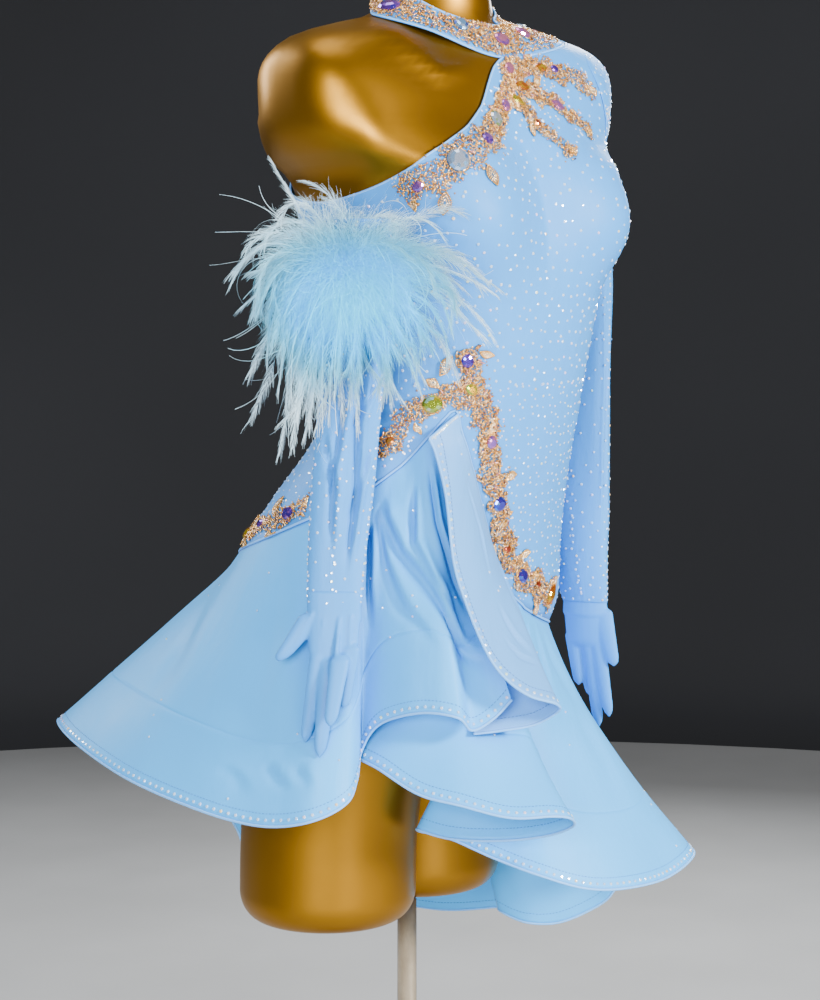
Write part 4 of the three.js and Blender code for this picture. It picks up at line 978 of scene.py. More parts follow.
def feather_paths(steps, aims, tilts, lengths, droop, curl, start):
    """Strands (n, steps + 1, 3) that leave the start outwards, sink with their weight and curl at the tip."""
    aim, tilt = np.radians(aims), np.radians(tilts)
    heading = (FLAT * (np.cos(aim) * np.cos(tilt))[:, None] + FACE * np.sin(tilt)[:, None]
               + np.array([0, 0, 1.0]) * (np.sin(aim) * np.cos(tilt))[:, None])
    axis = unit(np.cross(heading, [0, 0, 1.0]) + rng.normal(size=heading.shape) * 0.5)
    points = [start + heading * 6]
    for k in range(steps):
        share = (k + 1) / steps
        heading = unit(heading + np.array([0, 0, -1.0]) * (droop * (0.5 + share) / steps)[:, None])
        angle = (curl * share**2 * 2.4 / steps)[:, None]
        heading = heading * np.cos(angle) + np.cross(axis, heading) * np.sin(angle)
        points.append(points[-1] + heading * (lengths / steps)[:, None])
    return np.stack(points, 1)


def ribbons(paths, width, tip=0.3):
    """Flat strands along paths (n, steps, 3), narrower to the tip."""
    count, steps = paths.shape[:2]
    along = unit(np.gradient(paths, axis=1))
    side = unit(np.cross(along, rng.normal(size=(count, 1, 3))))
    taper = np.linspace(1, tip, steps)[None, :, None] * width[:, None, None] / 2
    grid = np.stack([paths - side * taper, paths + side * taper], 2).reshape(-1, 3)
    start = (np.arange(count) * steps * 2)[:, None] + (np.arange(steps - 1) * 2)[None]
    faces = np.stack([start, start + 1, start + 3, start + 2], -1).reshape(-1, 4)
    return grid, faces


def aims_around(count, weights):
    """Directions picked with weights by (aim, weight)."""
    table = np.array(weights, float)
    fine = np.linspace(-180, 180, 721)
    total = np.cumsum(np.interp(fine, table[:, 0], table[:, 1]))
    return np.interp(rng.uniform(0, total[-1], count), total, fine)


def reach_at(aims):
    return np.interp(wrapped(aims), REACH[:, 0], REACH[:, 1])


def barbs_along(paths, per_path, length, width):
    """Long barbs that leave both sides of each shaft, close up towards its tip and droop."""
    count, steps = paths.shape[:2]
    along = unit(np.gradient(paths, axis=1))
    across = unit(np.cross(along, rng.normal(size=(count, 1, 3))))
    which = np.repeat(np.arange(count), per_path)
    at = rng.uniform(0.10, 0.99, len(which)) * (steps - 1)
    low = np.minimum(at.astype(int), steps - 2)
    part = (at - low)[:, None]
    share = at / (steps - 1)
    base = paths[which, low] * (1 - part) + paths[which, low + 1] * part
    ahead = along[which, low]
    side = across[which, low] * rng.choice([-1, 1], (len(which), 1)) + rng.normal(size=(len(which), 3)) * 0.22
    heading = unit(side * (0.72 - 0.5 * share)[:, None] + ahead * rng.uniform(0.8, 1.3, (len(which), 1)))
    size = (length * rng.uniform(0.55, 1.1, len(which)) * (1.1 - 0.45 * share))[:, None]
    points = [base]
    for _ in range(3):
        points.append(points[-1] + heading * size / 3)
        heading = unit(heading + ahead * 0.34 + np.array([0, 0, -0.22]))
    return ribbons(np.stack(points, 1), np.full(len(which), width), 0.35)


def plume_piece(name, parts, nodes):
    """One mesh of strands, bluer near the bright spot and paler away from it."""
    points, faces = joined([(grid, quads.tolist()) for grid, quads in parts])
    beyond = np.maximum(SIDE_REACH - points[:, 0], 0)
    points[:, 0] += beyond - SIDE_SPARE * np.tanh(beyond / SIDE_SPARE)
    apart = np.linalg.norm((points - BRIGHT_SPOT) * [0.9, 0.9, 1.15], axis=1)
    tones = np.clip((apart - 18) / 84 + np.repeat(rng.normal(0, 0.06, len(points) // 2), 2), 0, 1)
    mesh_object(name, points, faces, GLOWING_FEATHER, "feather", nodes, tones=tones)


def on_cuff(aims, size):
    """Starts on a low ring round the cuff, with scatter."""
    aim = np.radians(aims)
    ring = FLAT * (np.cos(aim) * size)[:, None] + np.array([0, 0, 0.62]) * (np.sin(aim) * size)[:, None]
    return CUFF_CENTRE + ring + rng.normal(size=(len(aims), 3)) * [8, 8, 8]


def build_feathers():
    count = 11500
    aims = aims_around(count, DOWN_SHARE)
    share = rng.beta(2.2, 1.9, count)
    lengths = reach_at(aims) * (0.12 + 0.50 * share)
    paths = feather_paths(5, aims + rng.normal(0, 16, count), rng.uniform(-50, 68, count), lengths,
                          rng.uniform(0.2, 1.2, count), rng.normal(0, 1.5, count),
                          on_cuff(aims, 20 * rng.uniform(size=count)))
    strands = ribbons(paths, rng.uniform(0.24, 0.5, count))
    plume_piece("feather_down", [strands], ["feather_trim", "cuff_band"])

    count = 128
    aims = aims_around(count, PLUME_SHARE)
    lengths = reach_at(aims) * rng.uniform(0.66, 1.12, count)
    weight = rng.uniform(0.7, 2.4, count) + 1.5 * np.clip((np.abs(aims) - 100) / 40, 0, 1)
    shafts = feather_paths(16, aims, rng.uniform(-24, 46, count), lengths, weight,
                           rng.normal(0, 0.9, count), on_cuff(aims, np.full(count, 16.0)))
    loose = 110
    aims = aims_around(loose, PLUME_SHARE)
    lengths = reach_at(aims) * rng.uniform(0.85, 1.12, loose)
    wisps = feather_paths(18, aims, rng.uniform(-20, 50, loose), lengths, rng.uniform(1.0, 4.0, loose),
                          rng.normal(0, 2.4, loose), on_cuff(aims, np.full(loose, 18.0)))
    plume_piece("feather_plumes", [ribbons(shafts, np.full(count, 0.9), 0.4),
                                   barbs_along(shafts, 205, 20.0, 0.34),
                                   ribbons(wisps, rng.uniform(0.5, 1.0, loose), 0.5)], [])


# ---- crystals and beadwork ----

CRYSTAL = toned_material("crystal", [(0.0, (0.62, 0.74, 0.86)), (0.42, (0.36, 0.60, 0.88)),
                                     (0.58, (0.85, 0.66, 0.95)), (0.68, (0.62, 0.88, 0.66)),
                                     (0.8, (0.95, 0.72, 0.45)), (1.0, (0.12, 0.05, 0.03))],
                         0.08, Metallic=0.1, Coat_Weight=1.0, Coat_Roughness=0.02, IOR=1.8)
BEAD = toned_material("gold_beads", [(0.0, (0.44, 0.17, 0.02)), (0.35, (0.80, 0.40, 0.08)),
                                     (0.6, (0.96, 0.60, 0.24)), (0.78, (1.0, 0.84, 0.62)),
                                     (0.9, (0.20, 0.08, 0.02)), (1.0, (0.75, 0.32, 0.30))],
                      0.18, Metallic=0.65, Coat_Weight=0.8)
GEM = toned_material("gems", [(0.0, (0.75, 0.24, 0.38)), (0.12, (0.42, 0.16, 0.62)),
                              (0.24, (0.10, 0.03, 0.45)), (0.36, (0.01, 0.05, 0.55)),
                              (0.46, (0.22, 0.55, 0.95)), (0.56, (0.75, 0.80, 0.95)),
                              (0.66, (0.30, 0.48, 0.03)), (0.76, (0.72, 0.52, 0.02)),
                              (0.86, (0.72, 0.20, 0.01)), (1.0, (0.32, 0.02, 0.01))],
                     0.10, Metallic=0.75, Coat_Weight=0.7, Coat_Roughness=0.02, IOR=1.7)


def faceted(levels, outline):
    """A faceted body: an outline (n, 2) at levels of (size, height), closed at both ends."""
    points = [(x * size, y * size, z) for size, z in levels for x, y in outline]
    return points, ring_faces(len(levels), len(outline))


def pointed(count, ends):
    """An outline with a point at one end (a drop) or at both (a leaf)."""
    shape = circle(count)
    pinch = np.clip(shape[:, 0], 0, 1) if ends == 1 else np.abs(shape[:, 0])
    return shape * np.stack([np.ones(count), 1 - 0.75 * pinch**2], -1)


STONE = faceted([(1, 0), (0.6, 0.62)], circle(5))
SMALL_BEAD = faceted([(1, -0.35), (0.62, 0.72)], circle(5))
STITCH = faceted([(1, -0.6), (1, 0.5)], circle(4))
LONG_BEAD = faceted([(0.5, -1), (1, -0.7), (1, 0.7), (0.5, 1)], circle(4))
CUTS = {
    "round": faceted([(1, 0), (1.04, 0.35), (0.84, 0.68), (0.52, 0.88)], circle(12)),
    "drop": faceted([(1, 0), (1.04, 0.35), (0.82, 0.68), (0.48, 0.88)], pointed(16, 1)),
    "leaf": faceted([(1, 0), (1.04, 0.35), (0.82, 0.68), (0.48, 0.88)], pointed(16, 2)),
}


class Stones:
    """Stones of one piece, each with its place, facing, size and tone."""

    def __init__(self):
        self.rows = []

    def add(self, places, normals, radius, tones):
        radius = np.broadcast_to(radius, len(places))
        tones = np.broadcast_to(tones, len(places))
        self.rows.append((np.asarray(places), np.asarray(normals), np.array(radius), np.array(tones)))

    def build(self, name, slot):
        places, normals, radius, tones = (np.concatenate(column) for column in zip(*self.rows))
        points, faces = many_of(*STONE, places, axes_on(normals, rng.uniform(0, 6.28, len(places))),
                                radius[:, None] * [1, 1, 0.8])
        mesh_object(name, points, faces, CRYSTAL, slot, smooth=False, tones=np.repeat(tones, len(STONE[0])))


def sparkle(count):
    """Tones of clear stones, most white and some tinted."""
    return np.clip(rng.beta(0.8, 2.4, count), 0, 0.85)


def bodice_at(sheet, turn, z):
    turn, z = np.broadcast_arrays(np.asarray(turn, float), np.asarray(z, float))
    top, foot = form_row(edge_height(NECKLINE, turn)), form_row(edge_height(SEAM, turn))
    return sheet.at((wrapped(turn) + 180) / 360, (form_row(z) - top) / (foot - top))


def bodice_stones(sheet):
    stones = Stones()
    for low, high, gap, size in ((1052, 1388, 13.5, 1.6), (820, 1050, 11.0, 1.3)):
        for k, z in enumerate(np.arange(low, high, gap * 0.8)):
            step = gap / 2.25
            turns = np.arange(-180, 180, step) + (step / 2 if k % 2 else 0)
            turns = turns + rng.uniform(-0.30, 0.30, len(turns)) * step
            heights = z + rng.uniform(-0.27, 0.27, len(turns)) * gap
            keep = (heights < edge_height(NECKLINE, turns) - 9) & (heights > edge_height(SEAM, turns) + 7)
            places, normals = bodice_at(sheet, turns[keep], heights[keep])
            clear = ~((places[:, 0] > ARMHOLE_X - 2) & (places[:, 2] > ARMPIT_Z - 4))
            stones.add(places[clear], normals[clear], size * rng.uniform(0.85, 1.1, clear.sum()),
                       sparkle(clear.sum()))
    for turn, low, high in ((92, 850, 1190), (97, 850, 1190), (-92, 960, 1150)):
        heights = np.arange(low, high, 6.2)
        places, normals = bodice_at(sheet, turn + rng.uniform(-1, 1, len(heights)), heights)
        stones.add(places, normals, 1.25, sparkle(len(heights)))
    stones.build("bodice_crystals", "blue_cloth")


def sleeve_stones(left, right):
    stones = Stones()
    for sheet, rows, columns, edges in ((left, 62, 10, (0.0, 0.26, 0.5, 0.76)),
                                        (right, 34, 8, (0.53, 0.735, 0.95))):
        t = np.repeat(np.arange(rows), columns) / rows + rng.uniform(-0.006, 0.006, rows * columns)
        s = (np.tile(np.arange(columns), rows) + 0.5 * (np.repeat(np.arange(rows), columns) % 2)) / columns
        places, normals = sheet.at((s + rng.uniform(-0.02, 0.02, len(s))) % 1, np.clip(t + 0.01, 0.01, 0.99))
        stones.add(places, normals, 1.4 * rng.uniform(0.85, 1.1, len(s)), sparkle(len(s)))
        for edge in edges:
            t = np.arange(0.03, 0.98, 0.011 if sheet is left else 0.017)
            places, normals = sheet.at((edge + rng.uniform(-0.008, 0.008, len(t))) % 1, t)
            stones.add(places, normals, 1.45, sparkle(len(t)))
    stones.build("sleeve_crystals", "blue_cloth")


TOP_ROW, LAST_ROW, FRONT_EDGE = np.s_[:, 0], np.s_[:, -1], np.s_[0]


def stitch_row(sheet, side):
    """Places of the stitches on one face of a sheet, the directions out of it and along it."""
    lengths = lengths_along(sheet.points[LAST_ROW])
    s = np.interp(np.arange(2, lengths[-1] - 2, STITCH_GAP), lengths, np.linspace(0, 1, len(lengths)))
    places, normals = near_hem(sheet, s, STITCH_RISE)
    ahead = unit(np.gradient(places, axis=0))
    if side < 0:
        places = places - normals * WALL
    return places, normals * side, ahead


def wall_middle(sheet, at):
    """The middle of the wall along one edge of a sheet."""
    return sheet.points[at] + sheet.inward[at] * WALL / 2


def build_cord(name, lines, radius):
    """A thin rolled or corded edge along each line."""
    mesh_object(name, *joined([tube_mesh(line, radius) for line in lines]), HEM_BLUE, "blue_cloth")


def build_hems(sheets):
    """A corded edge round each layer, and a row of stitches on both faces above it."""
    lines, stitches, frames = [], [], []
    for sheet, whole_edges in sheets:
        lines.append(wall_middle(sheet, LAST_ROW))
        if whole_edges:
            lines.append(wall_middle(sheet, FRONT_EDGE))
        for side in (1, -1):
            places, normals, ahead = stitch_row(sheet, side)
            stitches.append(places + normals * 0.15)
            frames.append(np.stack([ahead, unit(np.cross(normals, ahead)), normals], 1))
    build_cord("hem_cord", lines, 1.25)
    places = np.concatenate(stitches)
    size = np.ones((len(places), 1)) * np.array([[1.2, 0.3, 0.28]])
    points, faces = many_of(*STITCH, places, np.concatenate(frames), size)
    mesh_object("hem_stitches", points, faces, THREAD, "blue_cloth")


def build_seam_cords(bodice, collar):
    """A piped seam where the skirt joins the bodice, and a rolled edge round the neckline and collar."""
    build_cord("seam_piping", [bodice.points[LAST_ROW] - bodice.inward[LAST_ROW] * 0.3], 1.2)
    edges = (bodice, TOP_ROW), (collar, TOP_ROW), (collar, LAST_ROW)
    build_cord("neck_binding", [wall_middle(*edge) for edge in edges], 1.1)


def skirt_stones(sheets):
    stones = Stones()
    for sheet, whole_edges in sheets:
        lengths = lengths_along(sheet.points[LAST_ROW])
        s = np.interp(np.arange(3, lengths[-1], STONE_GAP), lengths, np.linspace(0, 1, len(lengths)))
        height = np.interp(s, np.linspace(0, 1, len(sheet.points)),
                           np.linalg.norm(np.diff(sheet.points, axis=1), axis=2).sum(1))
        places, normals = near_hem(sheet, s, 5.0)
        stones.add(places, normals, 1.7, sparkle(len(s)))
        count = int(lengths[-1] / 26)
        s = rng.uniform(0.02, 0.98, count)
        places, normals = sheet.at(s, rng.uniform(0.12, 0.94, count))
        stones.add(places, normals, 1.3, sparkle(count))
        if whole_edges:
            t = np.arange(0.05, 0.98, STONE_GAP / height.mean())
            places, normals = sheet.at(np.full(len(t), 4.8 / lengths[-1]), t)
            stones.add(places, normals, 1.6, sparkle(len(t)))
    stones.build("skirt_crystals", "blue_cloth")


def near_hem(sheet, s, distance):
    """Points a distance up from the hem, and the directions out of the cloth there."""
    last, before = sheet.at(s, np.ones(len(s)))[0], sheet.at(s, np.full(len(s), 0.97))[0]
    normal = sheet.at(s, np.full(len(s), 0.99))[1]
    return last + unit(before - last) * distance, normal


# Beaded trims: half width and their line of (turn, height) on the bodice.
TRIMS = {
    "trim_neckline": (14, [(6, 1329), (0, 1308), (-5, 1290), (-17, 1269), (-34, 1245), (-48, 1226),
                           (-60, 1208)]),
    "trim_shoulder_upper": (11, [(7, 1324), (20, 1325), (34, 1326), (50, 1323), (62, 1309)]),
    "trim_shoulder_middle": (10, [(4, 1312), (14, 1305), (26, 1300), (39, 1288), (49, 1270)]),
    "trim_shoulder_lower": (10, [(2, 1298), (11, 1284), (18, 1270), (26, 1249)]),
    "trim_waist": (13.5, [(-47, 1082), (-45, 1064), (-38, 1038), (-27, 1008), (-20, 977), (-9, 948), (6, 896),
                          (26, 866), (44, 850)]),
    "trim_waist_side": (12.5, [(-44, 1052), (-53, 1040), (-66, 1024), (-71, 988)]),
    "trim_hip": (11, [(-122, 909), (-105, 925), (-88, 943)]),
}
# Leaves: along the trim 0 to 1, across it -1 to 1, length, width and turn.
LEAVES = {
    "trim_waist": [(0.015, 1.0, 17, 8, 55), (0.015, -1.0, 17, 8, -55), (0.24, 0.7, 15, 7, -40),
                   (0.45, 1.0, 14, 7, 60), (0.62, -0.9, 14, 7, -30), (0.74, 0.9, 15, 7, 40),
                   (0.9, -0.9, 15, 7, -45), (0.97, 0.8, 16, 8, 30)],
    "trim_neckline": [(0.16, 0.8, 13, 7, 50), (0.66, 1.0, 16, 8, 70), (0.86, 1.1, 18, 8, 40),
                      (0.97, 0.6, 15, 7, 20)],
    "trim_waist_side": [(0.3, -1.0, 14, 7, -50), (0.6, 0.8, 14, 7, 60), (0.95, -0.4, 16, 7, -10)],
    "trim_hip": [(0.2, -0.9, 14, 7, -60), (0.55, 0.9, 13, 7, 50), (0.62, -1.0, 15, 7, -80),
                 (0.95, 0.2, 13, 7, 20)],
    "trim_shoulder_upper": [(0.30, 0.7, 11, 6, 40), (0.92, 0.0, 14, 7, 0)],
    "trim_shoulder_middle": [(0.42, 0.8, 11, 6, 50), (0.95, 0.0, 14, 7, 0)],
    "trim_shoulder_lower": [(0.45, -0.8, 11, 6, -50), (0.93, 0.0, 15, 8, 10)],
}
# Gems: along the trim 0 to 1, across it -1 to 1, half length and width, cut, turn and tone.
GEMS = {
    "trim_neckline": [(0.04, 0.1, 6.5, 5.0, "round", 0, 0.02), (0.25, 0.1, 6.0, 4.6, "round", 20, 0.06),
                      (0.38, -0.1, 7.5, 6.4, "round", 40, 0.58), (0.54, 0.1, 6.5, 5.6, "round", 0, 0.20),
                      (0.74, 0.0, 9.5, 9.5, "round", 0, 0.50), (0.92, 0.1, 5.0, 4.2, "round", 0, 0.12)],
    "trim_shoulder_upper": [(0.50, 0.0, 8.0, 4.4, "leaf", 0, 0.86), (0.66, 0.1, 4.6, 3.6, "round", 0, 0.20)],
    "trim_shoulder_middle": [(0.20, 0.1, 8.5, 4.8, "leaf", 10, 0.84), (0.66, 0.0, 8.0, 4.8, "leaf", 0, 0.03)],
    "trim_shoulder_lower": [(0.14, 0.1, 8.0, 4.0, "leaf", 15, 0.76), (0.55, 0.0, 3.2, 3.2, "round", 0, 0.9)],
    "trim_waist": [(0.03, 0.0, 6.0, 5.2, "round", 0, 0.24), (0.11, -0.3, 5.6, 4.4, "round", 30, 0.72),
                   (0.30, 0.1, 5.8, 4.8, "round", 0, 0.10), (0.51, 0.0, 6.6, 6.6, "round", 0, 0.36),
                   (0.67, 0.1, 3.8, 3.6, "round", 0, 0.97), (0.79, -0.1, 6.8, 6.0, "round", 0, 0.30),
                   (0.88, 0.2, 3.6, 3.2, "round", 0, 0.94), (0.975, 0.1, 11.0, 6.0, "drop", 70, 0.86)],
    "trim_waist_side": [(0.38, 0.0, 8.4, 7.4, "round", 0, 0.68), (0.84, 0.1, 3.8, 3.6, "round", 0, 0.9)],
    "trim_hip": [(0.06, 0.0, 6.4, 5.6, "round", 0, 0.80), (0.42, 0.1, 4.8, 4.0, "round", 0, 0.22),
                 (0.80, 0.0, 6.2, 5.6, "round", 0, 0.20)],
}
# Gems of the collar: turn, half length and width, cut, turn and tone.
COLLAR_GEMS = [(-80, 9.5, 9.0, "round", 0, 0.24), (-44, 8.4, 6.8, "round", 60, 0.44),
               (-4, 8.4, 6.4, "round", 0, 0.08), (28, 8.4, 5.6, "round", 90, 0.03),
               (70, 6.0, 6.0, "round", 0, 0.56), (-116, 6.0, 6.0, "round", 0, 0.3)]
# The collar's trim: its length, half its width, mm to a degree, and the turn where it starts.
COLLAR_LENGTH, COLLAR_HALF, COLLAR_DEGREE, COLLAR_START = 265, 19, 1.05, -132


class Beadwork:
    """Beads and gems that are laid on a surface given by place(along, across) in mm."""

    def __init__(self):
        self.beads, self.bars, self.gems, self.loose = [], [], [], Stones()

    def lay(self, place, length, half, gems, leaves=(), spread=1.0, filled=0.82):
        ragged = rng.uniform(0, 6.28, 4)

        def reach(along, side):
            wave = (0.16 * np.sin(along / 5.1 + ragged[0] + side)
                    + 0.14 * np.sin(along / 2.9 + ragged[1] - side)
                    + 0.30 * np.clip(np.sin(along / 11.0 + ragged[2] + 1.9 * side), 0, 1)**4)
            return half * (filled + wave * spread)

        along, across = np.meshgrid(np.arange(0, length, BEAD_GAP),
                                    np.arange(-1.6 * half, 1.6 * half, BEAD_GAP), indexing="ij")
        along = (along + rng.uniform(-0.9, 0.9, along.shape)).ravel()
        across = (across + rng.uniform(-0.9, 0.9, across.shape)).ravel()
        keep = (np.abs(across) < reach(along, np.sign(across))) & (rng.uniform(size=len(along)) < 0.92)
        for row in gems:
            apart = np.hypot((along - row[0] * length), (across - row[1] * half))
            keep &= apart > 0.82 * max(row[2], row[3])
        along, across = along[keep], across[keep]
        lift = rng.choice([0.6, 1.2, 2.0], len(along), p=[0.45, 0.35, 0.2])
        places, normals = place(along, across)
        tones = rng.choice([0.05, 0.3, 0.42, 0.6, 0.78, 0.9, 1.0], len(along),
                           p=[0.20, 0.27, 0.2, 0.12, 0.07, 0.10, 0.04]) + rng.uniform(-0.04, 0.04, len(along))
        radius = rng.uniform(0.9, 1.3, len(along))
        self.beads.append((places + normals * lift[:, None], normals, radius, tones))
        pick = rng.uniform(size=len(along)) < 0.26
        self.bars.append((places[pick] + normals[pick] * 1.9, normals[pick], tones[pick]))
        for share, side, long, wide, turn in leaves:
            self.set_leaf(place, share * length, side * half, long, wide, turn)
        for row in gems:
            self.set_gem(place, row[0] * length, row[1] * half, row)
        count = int(length / 4.6)
        where, side = rng.uniform(0, length, count), rng.choice([-1, 1], count)
        offset = side * (reach(where, side) + rng.uniform(1.5, 7.5, count))
        places, normals = place(where, offset)
        radius = rng.uniform(0.8, 1.35, count)
        self.loose.add(places, normals, radius, rng.choice([0.1, 0.5, 0.8, 0.95], count))

    def set_leaf(self, place, along, across, long, wide, turn):
        """A leaf of beads: its outline, its vein and a row between them."""
        angle = math.radians(turn)
        for size, gap, tone in ((1.0, 1.8, 0.34), (0.68, 1.8, 0.62), (0.34, 1.8, 0.74)):
            outline = pointed(int(2.3 * (long + wide) * size / gap), 2) * [long / 2 * size, wide / 2 * size]
            flat = outline + [long / 2, 0]
            x = along + flat[:, 0] * math.cos(angle) - flat[:, 1] * math.sin(angle)
            y = across + flat[:, 0] * math.sin(angle) + flat[:, 1] * math.cos(angle)
            places, normals = place(x, y)
            self.beads.append((places + normals * 1.6, normals, np.full(len(x), 1.05), np.full(len(x), tone)))

    def set_gem(self, place, along, across, row):
        half_long, half_wide, cut, turn, tone = row[2:]
        places, normals = place(np.array([along, along + 1.0]), np.array([across, across]))
        normal, ahead = normals[0], unit(places[1] - places[0])
        side = np.cross(normal, ahead)
        angle = math.radians(turn)
        first = ahead * math.cos(angle) + side * math.sin(angle)
        axes = np.stack([first, np.cross(normal, first), normal])
        size = (half_long, half_wide, 0.55 * min(half_long, half_wide) + 1.0)
        self.gems.append((cut, places[0] + normal * 0.9, axes, size, tone))
        count = int(3.6 * (half_long + half_wide) / 2.2)
        ring = circle(count) * [half_long + 1.0, half_wide + 1.0]
        spots = places[0] + ring @ axes[:2] + normal * 1.2
        normals = np.repeat(normal[None], count, 0)
        self.beads.append((spots, normals, np.full(count, 1.0), np.full(count, 0.36)))

    def build(self, name, nodes):
        places, normals, radius, tones = (np.concatenate(column) for column in zip(*self.beads))
        beads = many_of(*SMALL_BEAD, places, axes_on(normals, rng.uniform(0, 6.28, len(places))),
                                radius[:, None] * [1, 1, 0.8])
        bar_places, bar_normals, bar_tones = (np.concatenate(column) for column in zip(*self.bars))
        flat = axes_on(bar_normals, rng.uniform(0, 6.28, len(bar_places)))
        upright = np.stack([flat[:, 1], flat[:, 2], flat[:, 0]], 1)
        bars = many_of(*LONG_BEAD, bar_places, upright, np.array([[0.6, 0.6, 2.3]]) * np.ones((len(flat), 1)))
        shade = np.concatenate([np.repeat(tones, len(SMALL_BEAD[0])),
                                np.repeat(bar_tones, len(LONG_BEAD[0]))])
        mesh_object(name, *joined([beads, bars]), BEAD, "beaded_trim", nodes, tones=shade)
        parts = [(np.asarray(CUTS[cut][0]) * size @ axes + place, CUTS[cut][1])
                 for cut, place, axes, size, _ in self.gems]
        tones = np.concatenate([np.clip(gem[-1] + rng.uniform(-0.09, 0.09, len(rings)), 0, 1)
                                for gem, (_, rings) in zip(self.gems, parts)])
        mesh_object(name + "_gems", *joined(parts), GEM, "beaded_trim", smooth=False, tones=tones)
        self.loose.build(name + "_loose_stones", "beaded_trim")


def trim_place(sheet, line):
    """place(along, across) of a trim, and its length."""
    table = np.array(line, float)
    fine = row_at(table, np.linspace(0, len(table) - 1, 200))
    body = 125
    flat = np.stack([np.radians(fine[:, 0]) * body, fine[:, 1]], -1)
    lengths = lengths_along(flat)
    heading = unit(np.gradient(flat, axis=0))

    def place(along, across):
        x, y = (np.interp(along, lengths, flat[:, k]) for k in (0, 1))
        hx, hy = (np.interp(along, lengths, heading[:, k]) for k in (0, 1))
        turn = np.degrees((x - across * hy) / body)
        height = np.minimum(y + across * hx, edge_height(NECKLINE, turn) + 1.0)
        return bodice_at(sheet, turn, height)
    return place, lengths[-1]


def build_beadwork(bodice, collar):
    upper, lower, band = Beadwork(), Beadwork(), Beadwork()
    for name, (half, line) in TRIMS.items():
        place, length = trim_place(bodice, line)
        work = upper if "neck" in name or "shoulder" in name else lower
        work.lay(place, length, half, GEMS[name], LEAVES[name])
    upper.build("upper_beadwork", [n for n in TRIMS if "neck" in n or "shoulder" in n])
    lower.build("lower_beadwork", [n for n in TRIMS if "waist" in n or "hip" in n])
    rows = np.linalg.norm(np.diff(collar.points, axis=1), axis=2)
    rows = np.concatenate([np.zeros((len(rows), 1)), np.cumsum(rows, axis=1)], axis=1)
    shares = np.linspace(0, 1, rows.shape[1])

    def on_collar(along, across):
        s = (along / COLLAR_DEGREE + 180 + COLLAR_START) / 360
        nearest = np.clip(np.round(s * (len(rows) - 1)).astype(int), 0, len(rows) - 1)
        t = [np.interp((0.5 - a / (2 * COLLAR_HALF)) * rows[i, -1], rows[i], shares)
             for i, a in zip(nearest, across)]
        return collar.at(s, np.array(t))
    gems = [((turn - COLLAR_START) * COLLAR_DEGREE / COLLAR_LENGTH, 0, *row) for turn, *row in COLLAR_GEMS]
    band.lay(on_collar, COLLAR_LENGTH, COLLAR_HALF, gems, (), 0.12, 0.90)
    band.build("collar_beadwork", ["trim_collar"])


# ---- stage ----

def build_stage():
    """A round pale floor and a dark wall, with a cove where they meet."""
    floor = material("stage_floor", (0.62, 0.62, 0.64), 0.7)
    shade = texture(floor, "ShaderNodeTexNoise", "Object", Scale=3.0, Detail=3.0)
    ramp(floor, shade.outputs["Fac"], [(0.3, (0.34,) * 3), (0.7, (0.38,) * 3)])
    wall = material("stage_wall", (0.12, 0.13, 0.15), 0.9)
    drift = texture(wall, "ShaderNodeTexNoise", "Object", Scale=0.7, Detail=2.0)
    ramp(wall, drift.outputs["Fac"], [(0.3, (0.016, 0.017, 0.020)), (0.7, (0.022, 0.023, 0.027))])
    sides = 96
    profile = [(3600, 0), (3780, 30), (3900, 120), (3960, 300), (3980, 4200)]
    points = turned_points(profile, (0, 0), sides)
    inner = [face[::-1] for face in ring_faces(len(profile), sides, False)]
    plain_object("stage_floor", points[:sides], [list(range(sides))], floor)
    plain_object("stage_wall", points, inner, wall)


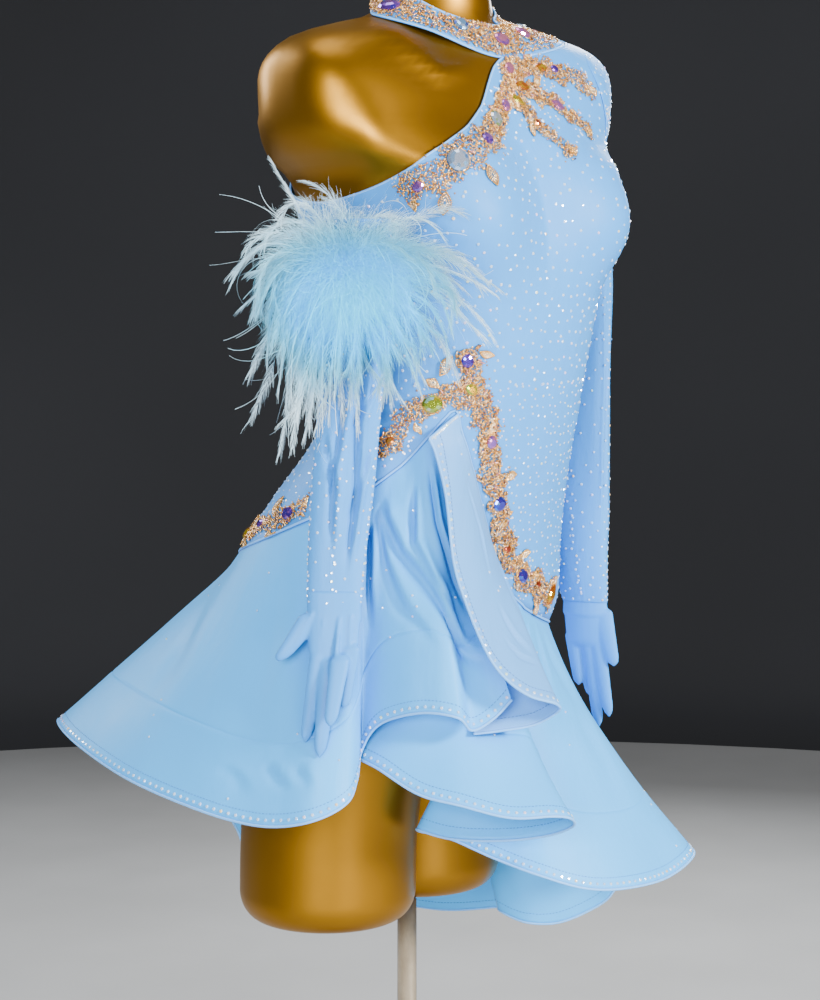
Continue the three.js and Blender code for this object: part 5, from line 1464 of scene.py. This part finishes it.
def area_light(name, place, target, size, power, color):
    data = bpy.data.lights.new(name, "AREA")
    data.shape = "RECTANGLE"
    data.size, data.size_y = size
    data.energy = power
    data.color = color
    lamp = bpy.data.objects.new(name, data)
    lamp.location = place
    bpy.context.scene.collection.objects.link(lamp)
    look_at(lamp, Vector(target))


def build_lights():
    area_light("key", (0.5, -2.8, 1.78), (0, 0, 0.92), (0.42, 0.42), 206, (1.0, 0.98, 0.95))
    area_light("fill", (-2.5, -1.7, 1.35), (0, 0, 0.88), (1.0, 1.0), 128, (0.95, 0.97, 1.0))
    area_light("low", (-0.9, -2.5, 0.55), (0, 0, 0.7), (1.0, 0.5), 20, (0.97, 0.98, 1.0))
    area_light("top", (-0.3, 0.1, 3.2), (0, 0, 1.0), (1.2, 1.2), 18, (1, 1, 1))
    area_light("back", (-0.7, 2.5, 2.2), (0, 0, 1.0), (0.7, 1.6), 60, (0.95, 0.98, 1.0))
    area_light("rim", (2.1, 1.2, 1.9), (0, 0, 1.0), (0.7, 1.6), 80, (0.95, 0.98, 1.0))
    world = bpy.data.worlds.new("studio")
    world.use_nodes = True
    world.node_tree.nodes["Background"].inputs["Color"].default_value = (0.5, 0.55, 0.62, 1)
    world.node_tree.nodes["Background"].inputs["Strength"].default_value = 0.22
    bpy.context.scene.world = world


build_form()
build_stand()
bodice_sheet = build_bodice()
collar_sheet = build_collar()
right_skirt, left_skirt, overlay_sheet = build_skirts()
left_sleeve_sheet, right_sleeve_sheet = build_sleeves()
build_glove("right_hand", "right_glove", False, (-172, -86, 866), SLEEVE_FACING, 1, (-47, -46))
build_glove("left_hand", "left_glove", True, (195, -49.5, 832), SLEEVE_FACING - 27, -0.35, (-30, -62))
build_feathers()
bodice_stones(bodice_sheet)
sleeve_stones(left_sleeve_sheet, right_sleeve_sheet)
skirt_stones([(right_skirt, False), (left_skirt, False), (overlay_sheet, True)])
build_hems([(right_skirt, False), (left_skirt, False), (overlay_sheet, True)])
build_seam_cords(bodice_sheet, collar_sheet)
build_beadwork(bodice_sheet, collar_sheet)
build_stage()
build_lights()
